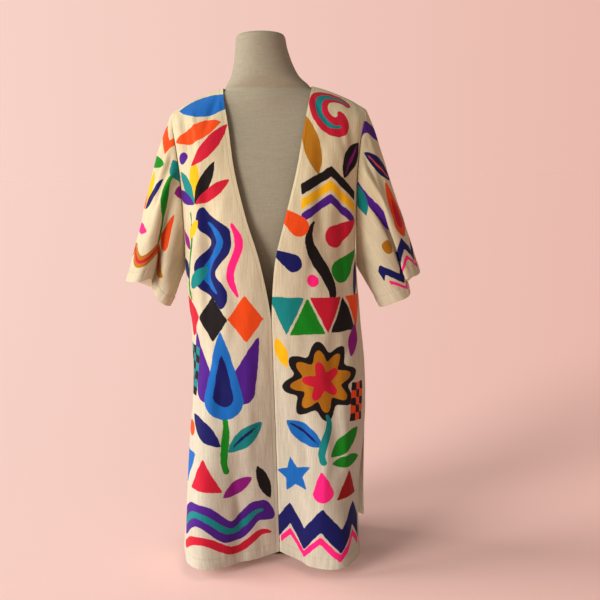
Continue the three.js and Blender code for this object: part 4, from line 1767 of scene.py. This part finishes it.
RIGHT_CREASES = (
    Fold(170, 160, 950, 850, 8, -4.9),
    Fold(150, 140, 950, 880, 6, 3.0),
    Fold(112, 128, 760, 540, 10, -3.8),
    Fold(92, 82, 640, 480, 12, 3.5),
    Fold(100, 110, 440, 300, 9, -4.1),
    Fold(38, 48, 520, 230, 12, 3.2),
    Fold(160, 172, 420, 120, 9, 3.8),
    Fold(96, 126, 990, 900, 7, -2.6),
    Fold(140, 166, 700, 560, 8, 3.4),
    Fold(176, 118, 540, 430, 8, -3.4),
    Fold(84, 62, 250, 60, 8, -2.8),
)
LEFT_SLEEVE_CREASES = (
    Fold(158, 100, 310, 30, 13, -6.5),
    Fold(118, 60, 300, 70, 11, 4.0),
    Fold(52, 58, 345, 90, 12, -4.5),
    Fold(64, 96, 400, 120, 12, -4.6),
    Fold(112, 70, 330, 60, 11, 4.3),
    Fold(20, 34, 360, 150, 13, -3.0),
    Fold(-80, -60, 380, 40, 15, -4.3),
    Fold(-140, -120, 330, 20, 16, 4.6),
)
RIGHT_SLEEVE_CREASES = (
    Fold(160, 116, 300, 30, 13, -6.0),
    Fold(120, 74, 310, 90, 10, 3.5),
    Fold(50, 44, 340, 80, 12, -4.0),
    Fold(70, 88, 400, 100, 12, -4.9),
    Fold(118, 90, 320, 80, 11, 4.1),
    Fold(26, 12, 350, 130, 13, 3.2),
    Fold(-74, -92, 380, 40, 15, 4.3),
    Fold(-136, -130, 330, 20, 16, -4.6),
)
BACK_FOLDS = (
    Fold(-118, -132, 880, -60, 24, 8),
    Fold(-62, -58, 620, -60, 22, -7),
    Fold(6, 10, 520, -60, 24, 5),
    Fold(74, 86, 700, -60, 22, -8),
    Fold(126, 146, 860, -60, 22, 8),
)

P = Paint
SECOND, THIRD = Coat.SECOND, Coat.THIRD


def checkers(u: float, h: float, paint: Paint, angle: float, **sizes: float) -> tuple[Motif, Motif]:
    """A block of paint with every second square painted black over it.

    Args:
        u: place across.
        h: place up.
        paint: the block's paint.
        angle: its turn in degrees.
        sizes: its cell, columns and rows.

    Returns:
        The block and its black squares.
    """
    block = Checks(u, h, paint, angle, whole=True, **sizes)
    return block, Checks(u, h, P.BLACK, angle, SECOND, **sizes)


RIGHT_FRONT_ART = Artwork(
    (
        # shoulder: long leaves that fan out from the neck
        Leaf(126, 968, P.BLUE, -66, length=140, width=54),
        Leaf(146, 914, P.ORANGE, -88, length=112, width=38),
        Leaf(116, 876, P.CRIMSON, -124, length=98, width=34),
        Dot(182, 872, P.VIOLET, radius=13),
        # chest: a fan of leaves
        Leaf(148, 814, P.YELLOW, 0, length=92, width=27),
        Leaf(125, 808, P.BLACK, 31, length=88, width=27),
        Leaf(171, 808, P.TEAL, -31, length=88, width=27),
        Leaf(108, 788, P.CRIMSON, 64, length=84, width=25),
        Leaf(188, 788, P.VIOLET, -64, length=84, width=25),
        # waves that run down beside the opening
        Wave(114, 660, P.NAVY, 90, length=204, swing=19, wave=126, width=50),
        Wave(114, 660, P.BLUE, 90, SECOND, length=146, swing=19, wave=126, width=16),
        Wave(64, 652, P.PINK, 90, length=146, swing=10, wave=126, width=17),
        # leaf sprig at the side
        Stroke(172, 664, P.GREEN, 4, length=180, bend=14, sway=-14, width=9, foot=5, tip=4),
        Leaf(152, 620, P.TEAL, 42, length=60, width=26),
        Leaf(196, 640, P.NAVY, -46, length=60, width=26),
        Leaf(192, 700, P.MAGENTA, -42, length=56, width=24),
        Leaf(158, 720, P.YELLOW, 40, length=48, width=20),
        # waist: a chain of rhombs
        *(
            Corner(u, h, paint, sides=4, radius=36, stretch=1.3)
            for u, h, paint in ((46, 538, P.ORANGE), (118, 536, P.BLACK), (190, 538, P.CRIMSON))
        ),
        # a tulip
        Drop(62, 392, P.VIOLET, 20, radius=29, length=118),
        Drop(140, 392, P.VIOLET, -20, radius=29, length=118),
        Drop(100, 372, P.BLUE, 0, SECOND, radius=42, length=140),
        Drop(100, 378, P.NAVY, 0, THIRD, radius=22, length=86),
        Stroke(100, 280, P.GREEN, 0, length=116, bend=10, sway=-10, width=15, foot=12, tip=9),
        Leaf(58, 292, P.TEAL, 50, length=96, width=36),
        Leaf(144, 304, P.NAVY, -50, length=92, width=36),
        Stroke(58, 292, P.NAVY, 50, SECOND, length=76, bend=4, sway=4, width=7),
        *checkers(192, 424, P.TEAL, 6, cell=17, columns=3, rows=6),
        # below: darts and two leaves
        Leaf(78, 186, P.MAGENTA, 58, length=74, width=28),
        Leaf(22, 190, P.BLACK, -20, length=84, width=26),
        Corner(142, 202, P.CRIMSON, radius=38, stretch=1.2),
        Corner(198, 228, P.BLUE, 180, radius=40, stretch=1.2),
        Dot(190, 300, P.ORANGE, radius=17),
        Flower(226, 176, P.OCHRE, radius=26, petals=5),
        # hem: running waves
        Wave(124, 110, P.VIOLET, 0, length=250, swing=18, wave=126, width=46, taper=0.1),
        Wave(124, 110, P.TEAL, 0, SECOND, length=200, swing=18, wave=126, width=13, taper=0.15),
        Wave(120, 62, P.CRIMSON, 0, length=226, swing=14, wave=126, width=17, taper=0.15),
    )
)

LEFT_FRONT_ART = Artwork(
    (
        # shoulder: a large scroll and two leaves
        Scroll(142, 944, P.CRIMSON, 60, outer=48, inner=14, turns=0.9, width=44),
        Scroll(142, 944, P.TEAL, 60, SECOND, outer=48, inner=24, turns=0.66, width=14),
        Leaf(92, 868, P.OCHRE, 16, length=104, width=38),
        Leaf(180, 862, P.BLACK, -24, length=96, width=36),
        Stroke(180, 862, P.MAGENTA, -24, SECOND, length=74, bend=4, sway=4, width=6),
        # chest: stacked chevrons
        *(
            Zigzag(132, h, paint, length=124, tooth=124, swing=22, width=width)
            for h, paint, width in ((806, P.BLACK, 17), (779, P.YELLOW, 15), (753, P.VIOLET, 15))
        ),
        # a long stem with buds
        Stroke(110, 640, P.BLACK, 10, length=172, bend=52, sway=-52, width=27, foot=7, tip=6),
        Drop(64, 716, P.ORANGE, 56, radius=21, length=62),
        Drop(146, 700, P.CRIMSON, -56, radius=23, length=66),
        Drop(52, 642, P.NAVY, 66, radius=18, length=50),
        Drop(160, 630, P.GREEN, -50, radius=24, length=70),
        Dot(92, 610, P.PINK, radius=12),
        Leaf(208, 612, P.NAVY, -12, length=84, width=26),
        # waist: a broad band of triangles
        *(
            Corner(38 + 42 * k, (554, 530)[k % 2], paint, (180, 0)[k % 2], radius=42, stretch=1.15)
            for k, paint in enumerate((P.TEAL, P.GREEN, P.CRIMSON, P.BLACK, P.ORANGE))
        ),
        # a flower in three coats on a stem
        Flower(110, 408, P.BLACK, 8, radius=84, petals=8, depth=0.14),
        Flower(110, 408, P.OCHRE, 8, SECOND, radius=66, petals=8, depth=0.18),
        Flower(110, 408, P.CRIMSON, 30, THIRD, radius=42, petals=5, depth=0.26),
        Leaf(26, 470, P.YELLOW, 22, length=66, width=26),
        Leaf(192, 484, P.MAGENTA, -22, length=70, width=28),
        Stroke(116, 288, P.TEAL, -4, length=96, bend=-18, sway=18, width=16, foot=12, tip=7),
        Leaf(72, 300, P.BLUE, 54, length=92, width=38),
        Stroke(72, 300, P.NAVY, 54, SECOND, length=74, bend=4, sway=4, width=6),
        Leaf(162, 276, P.GREEN, -54, length=88, width=36),
        *checkers(198, 356, P.ORANGE, -6, cell=16, columns=3, rows=5),
        # below: a star, a drop and a dart
        Corner(50, 208, P.BLUE, 12, sides=5, radius=42, hollow=0.4),
        Drop(114, 176, P.PINK, 6, radius=20, length=46),
        Corner(170, 178, P.DARK_RED, radius=36, stretch=1.1),
        Leaf(168, 236, P.GREEN, 90, length=80, width=26),
        # hem: a band of chevrons
        Zigzag(114, 96, P.NAVY, 0, length=216, tooth=74, swing=24, width=30),
        Zigzag(114, 58, P.PINK, 0, length=200, tooth=74, swing=20, width=11),
    )
)

RIGHT_SLEEVE_ART = Artwork(
    (
        Zigzag(20, 306, P.ORANGE, 0, length=190, tooth=58, swing=17, width=19),
        Leaf(22, 258, P.GREEN, 82, length=84, width=24),
        Leaf(30, 198, P.YELLOW, 0, length=84, width=26),
        Leaf(6, 190, P.CRIMSON, 34, length=80, width=25),
        Leaf(54, 190, P.NAVY, -34, length=80, width=25),
        Stroke(116, 150, P.GREEN, 8, length=170, bend=30, sway=-30, width=24, foot=6, tip=6),
        Leaf(104, 238, P.TEAL, 40, length=66, width=26),
        Leaf(148, 220, P.MAGENTA, -30, length=72, width=28),
        Leaf(-54, 214, P.BLUE, 26, length=110, width=40),
        Drop(-66, 96, P.MAGENTA, 8, radius=26, length=76),
        Wave(0, 58, P.OCHRE, 0, length=420, swing=14, wave=112, width=26, taper=0.06),
        Wave(0, 58, P.CRIMSON, 0, SECOND, length=380, swing=14, wave=112, width=8, taper=0.06),
        Leaf(40, 116, P.PINK, 78, length=74, width=22),
        Corner(-136, 176, P.DARK_RED, sides=4, radius=40),
        Leaf(-128, 272, P.GREEN, -30, length=90, width=32),
        Drop(160, 110, P.ORANGE, 0, radius=20, length=62),
    )
)

LEFT_SLEEVE_ART = Artwork(
    (
        Wave(20, 306, P.VIOLET, 0, length=220, swing=16, wave=110, width=26, taper=0.15),
        Leaf(44, 236, P.NAVY, -42, length=98, width=38),
        Leaf(-22, 244, P.MAGENTA, 34, length=84, width=32),
        Stroke(44, 236, P.ORANGE, -42, SECOND, length=78, bend=4, sway=4, width=6),
        Drop(46, 112, P.ORANGE, 0, radius=27, length=92),
        Drop(46, 116, P.CRIMSON, 0, SECOND, radius=13, length=52),
        Leaf(4, 138, P.TEAL, 22, length=78, width=26),
        Stroke(118, 158, P.VIOLET, -8, length=180, bend=-36, sway=36, width=26, foot=6, tip=6),
        Leaf(150, 226, P.TEAL, 20, length=78, width=28),
        Zigzag(0, 56, P.NAVY, 0, length=420, tooth=66, swing=17, width=17),
        Zigzag(0, 30, P.PINK, 0, length=400, tooth=66, swing=13, width=7),
        Drop(-66, 104, P.BLUE, 0, radius=26, length=84),
        Corner(-138, 190, P.TEAL, sides=4, radius=40),
        Leaf(-80, 276, P.GREEN, -20, length=84, width=32),
        HalfDisc(-140, 96, P.OCHRE, radius=34),
        Dot(156, 112, P.OCHRE, radius=15),
    )
)

BACK_ART = Artwork(
    (
        # upper back: a fan of leaves
        Leaf(0, 902, P.YELLOW, 0, length=124, width=38),
        Leaf(-38, 892, P.CRIMSON, 32, length=120, width=36),
        Leaf(38, 892, P.TEAL, -32, length=120, width=36),
        Leaf(-64, 862, P.BLACK, 64, length=112, width=34),
        Leaf(64, 862, P.VIOLET, -64, length=112, width=34),
        Leaf(-146, 922, P.BLUE, 76, length=118, width=44),
        Flower(148, 912, P.ORANGE, radius=36, petals=5),
        Leaf(-140, 842, P.VIOLET, 84, length=104, width=36),
        Leaf(142, 838, P.GREEN, -84, length=104, width=36),
        Wave(0, 800, P.TEAL, 0, length=330, swing=15, wave=118, width=30, taper=0.12),
        # a tall stem with large leaves
        Stroke(0, 610, P.BROWN, 2, length=330, bend=40, sway=-40, width=24, foot=12, tip=8),
        Leaf(-70, 724, P.CRIMSON, 54, length=124, width=48),
        Leaf(70, 690, P.BLUE, -54, length=124, width=48),
        Leaf(-68, 630, P.TEAL, 54, length=124, width=48),
        Leaf(66, 586, P.OCHRE, -54, length=124, width=48),
        Leaf(-66, 530, P.MAGENTA, 54, length=116, width=44),
        Stroke(-70, 724, P.DARK_RED, 54, SECOND, length=98, bend=5, sway=5, width=6),
        Stroke(70, 690, P.NAVY, -54, SECOND, length=98, bend=5, sway=5, width=6),
        Stroke(66, 586, P.BROWN, -54, SECOND, length=98, bend=5, sway=5, width=6),
        Stroke(-68, 630, P.BLACK, 54, SECOND, length=98, bend=5, sway=5, width=6),
        Dot(-150, 660, P.ORANGE, radius=22),
        Dot(148, 640, P.MAGENTA, radius=22),
        Flower(-156, 576, P.GREEN, radius=32, petals=5),
        Flower(160, 736, P.DARK_RED, radius=32, petals=5),
        Zigzag(-176, 752, P.NAVY, 90, length=130, tooth=44, swing=12, width=14),
        # waist and hips
        Corner(-160, 482, P.BLUE, sides=4, radius=44, stretch=1.1),
        Corner(166, 506, P.CRIMSON, sides=4, radius=44, stretch=1.1),
        *checkers(-128, 380, P.TEAL, 6, cell=20, columns=6, rows=5),
        Flower(122, 374, P.BLACK, 0, radius=88, petals=8, depth=0.14),
        Flower(122, 374, P.YELLOW, 0, SECOND, radius=70, petals=8, depth=0.18),
        Flower(122, 374, P.CRIMSON, 20, THIRD, radius=44, petals=5, depth=0.26),
        Leaf(-26, 392, P.BLUE, 34, length=96, width=34),
        Leaf(20, 340, P.GREEN, -30, length=104, width=36),
        # above the hem
        HalfDisc(-134, 232, P.MAGENTA, radius=48),
        Leaf(156, 226, P.OCHRE, 62, length=96, width=34),
        Corner(-50, 222, P.ORANGE, radius=42, stretch=1.15),
        Corner(34, 222, P.BLUE, 180, radius=42, stretch=1.15),
        Corner(90, 214, P.GREEN, radius=34, stretch=1.15),
        Wave(0, 118, P.VIOLET, 0, length=440, swing=20, wave=136, width=46, taper=0.06),
        Wave(0, 118, P.TEAL, 0, SECOND, length=400, swing=20, wave=136, width=13, taper=0.08),
        Wave(0, 70, P.CRIMSON, 0, length=400, swing=15, wave=136, width=17, taper=0.1),
        Dot(-170, 56, P.BLUE, radius=12),
        Dot(36, 46, P.OCHRE, radius=11),
        Dot(176, 60, P.ORANGE, radius=12),
    )
)


# The studio


@dataclass(frozen=True)
class Lamp:
    """A large soft light: the way to it, its power and how wide it looks in degrees."""

    name: str
    place: tuple[float, float, float]
    power: float
    softness: float


@dataclass
class Studio:
    """The floor, the light and the camera of the photograph. Places in metres, angles in degrees."""

    camera_at: tuple[float, float, float] = (0.14122, -1.79445, 0.82)
    azimuth: float = 4.5
    pan: float = 1.861
    tilt: float = 8.288
    roll: float = -0.933
    lens: float = 51.41
    sensor: float = 36.0
    floor_size: float = 600.0
    lamps: tuple[Lamp, ...] = (
        Lamp("left window", (-0.95, 0.02, 0.36), 2.2, 36.0),
        Lamp("front left", (-0.73, -0.68, 0.27), 2.65, 28.0),
    )
    key_colour: tuple[float, float, float] = (1.0, 0.99, 0.97)
    ambient: float = 0.29
    ambient_colour: tuple[float, float, float] = (1.0, 0.94, 0.85)

    def build(self) -> None:
        """Sets up floor, lights, world and camera."""
        paper = Backdrop()
        sun = sum(lamp.power * Vector(lamp.place).normalized().z for lamp in self.lamps) / math.pi
        light = tuple(
            self.ambient * a + sun * k
            for a, k in zip(self.ambient_colour, self.key_colour, strict=True)
        )
        self._floor(paper, light)
        self._world(paper)
        for lamp in self.lamps:
            self._lamp(lamp)
        self._camera()
        bpy.context.scene.view_settings.view_transform = "Standard"

    def _floor(self, paper: Backdrop, light: tuple[float, float, float]) -> None:
        """Lays a sheet of studio paper that reaches to the horizon.

        Args:
            paper: the paper's finish.
            light: how much light of each colour the open floor receives.
        """
        bpy.ops.object.select_all(action="DESELECT")
        bpy.ops.mesh.primitive_plane_add(size=self.floor_size, location=(0, 0, 0))
        floor = bpy.context.object
        floor.name = "studio_floor"
        floor.data.materials.append(paper.build(light))
        floor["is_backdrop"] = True

    def _world(self, paper: Backdrop) -> None:
        """Makes an even warm surround to light by. The camera sees the paper go on in it.

        Args:
            paper: the paper's finish.
        """
        recipe = Recipe(bpy.data.worlds.new("studio"))
        bpy.context.scene.world = recipe.owner
        lit = recipe.add("Background", {"Color": (*self.ambient_colour, 1.0), "Strength": self.ambient})
        side = recipe.add("SeparateXYZ", {"Vector": recipe.add("TexCoord", output="Generated")}, "X")
        colour = paper.blend(recipe, side, linear(paper.left), linear(paper.right))
        seen = recipe.add("Background", {"Color": colour, "Strength": 1.0})
        ray = recipe.add("LightPath", output="Is Camera Ray")
        recipe.close("World", recipe.add("MixShader", {0: ray, 1: lit, 2: seen}))

    def _lamp(self, lamp: Lamp) -> None:
        """Adds one large soft light, so far off that it falls on all the floor alike.

        Args:
            lamp: where the light comes from, its power and its softness.
        """
        data = bpy.data.lights.new(lamp.name, "SUN")
        data.energy, data.color, data.angle = lamp.power, self.key_colour, math.radians(lamp.softness)
        made = bpy.data.objects.new(lamp.name, data)
        made.rotation_euler = (-Vector(lamp.place)).to_track_quat("-Z", "Y").to_euler()
        bpy.context.scene.collection.objects.link(made)

    def _camera(self) -> None:
        """The photograph's camera."""
        a, pan, tilt, roll = (math.radians(v) for v in (self.azimuth, self.pan, self.tilt, self.roll))
        forward = Vector((-math.sin(a), math.cos(a), 0))
        right = Vector((forward.y, -forward.x, 0))
        forward = forward * math.cos(pan) + right * math.sin(pan)
        right = Vector((forward.y, -forward.x, 0))
        up = Vector((0, 0, 1)) * math.cos(tilt) + forward * math.sin(tilt)
        forward = forward * math.cos(tilt) - Vector((0, 0, 1)) * math.sin(tilt)
        turned_right = right * math.cos(roll) + up * math.sin(roll)
        turned_up = up * math.cos(roll) - right * math.sin(roll)
        data = bpy.data.cameras.new("photo")
        data.lens, data.sensor_width, data.sensor_fit = self.lens, self.sensor, "HORIZONTAL"
        camera = bpy.data.objects.new("photo", data)
        axes = Matrix((turned_right, turned_up, -forward)).transposed()
        camera.matrix_world = Matrix.Translation(self.camera_at) @ axes.to_4x4()
        bpy.context.scene.collection.objects.link(camera)
        bpy.context.scene.camera = camera


# The whole


@dataclass(frozen=True)
class Cloth:
    """How one piece of cloth is cut and what it stands for."""

    shell: Shell
    node: str
    flat: tuple[float, float]
    area: float
    rests_on: tuple[str, ...]


def write_size(start: object, end: object) -> None:
    """Gathers the boxes of the CAD and of the finished model as plain lists, which are not kept.

    Args:
        start: the box before anything is added.
        end: the box of the finished model.
    """

    def plain(value: object) -> object:
        """Turns vectors into lists."""
        return [plain(v) for v in value] if hasattr(value, "__len__") else float(value)

    {"cad": plain(start), "visual": plain(end)}


def jacket() -> list[Cloth]:
    """Works out the five pieces of the jacket.

    Returns:
        The pieces in the order in which they are hung.
    """
    left = Front(cut=LEFT_CUT, folds=LEFT_FOLDS, creases=LEFT_CREASES, artwork=LEFT_FRONT_ART)
    right = Front(
        name="right_front_cloth",
        cut=RIGHT_CUT,
        folds=RIGHT_FOLDS,
        creases=RIGHT_CREASES,
        artwork=RIGHT_FRONT_ART,
    )
    back = Back(folds=BACK_FOLDS, artwork=BACK_ART)
    left_sleeve = Sleeve(creases=LEFT_SLEEVE_CREASES, artwork=LEFT_SLEEVE_ART)
    right_sleeve = Sleeve(
        name="right_sleeve_cloth",
        cut=RIGHT_CUT,
        cuff=RIGHT_CUFF,
        creases=RIGHT_SLEEVE_CREASES,
        artwork=RIGHT_SLEEVE_ART,
    )
    return [
        Cloth(left.shell(), "left_front", (0.265, 1.025), 0.213, ("linen_form",)),
        Cloth(right.shell(), "right_front", (0.33, 1.025), 0.231, ("linen_form",)),
        Cloth(back.shell(), "back", (0.575, 1.025), 0.476, ("linen_form",)),
        Cloth(left_sleeve.shell(), "left_sleeve", (0.70, 0.35), 0.0955, ("left_front_cloth", "back_cloth")),
        Cloth(right_sleeve.shell(), "right_sleeve", (0.70, 0.36), 0.094, ("right_front_cloth", "back_cloth")),
    ]


def main() -> None:
    """Builds the jacket and the form, gives the stand its finish and sets up the studio, in that order."""
    logging.basicConfig(level=logging.INFO, format="%(name)s: %(message)s")
    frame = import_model()
    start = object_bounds()
    canvas, linen, coat = PaintedCanvas().build(), Linen().build(), PowderCoat().build()
    for cloth in jacket():
        made = cloth.shell.build(canvas)
        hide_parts(cloth.node)
        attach(made, "root")
        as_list(cloth.rests_on)
        LOG.info("%s hangs", made.name)
    form = DressForm().build(linen)
    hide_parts("dress_form")
    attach(form, "root")
    for name in ("stand_pole", "stand_base"):
        node = frame["nodes"][name]
        node.data.materials.clear()
        node.data.materials.append(coat)
        LOG.info("%s is dressed", name)
    Studio().build()
    write_size(start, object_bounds())


if __name__ == "__main__":
    main()
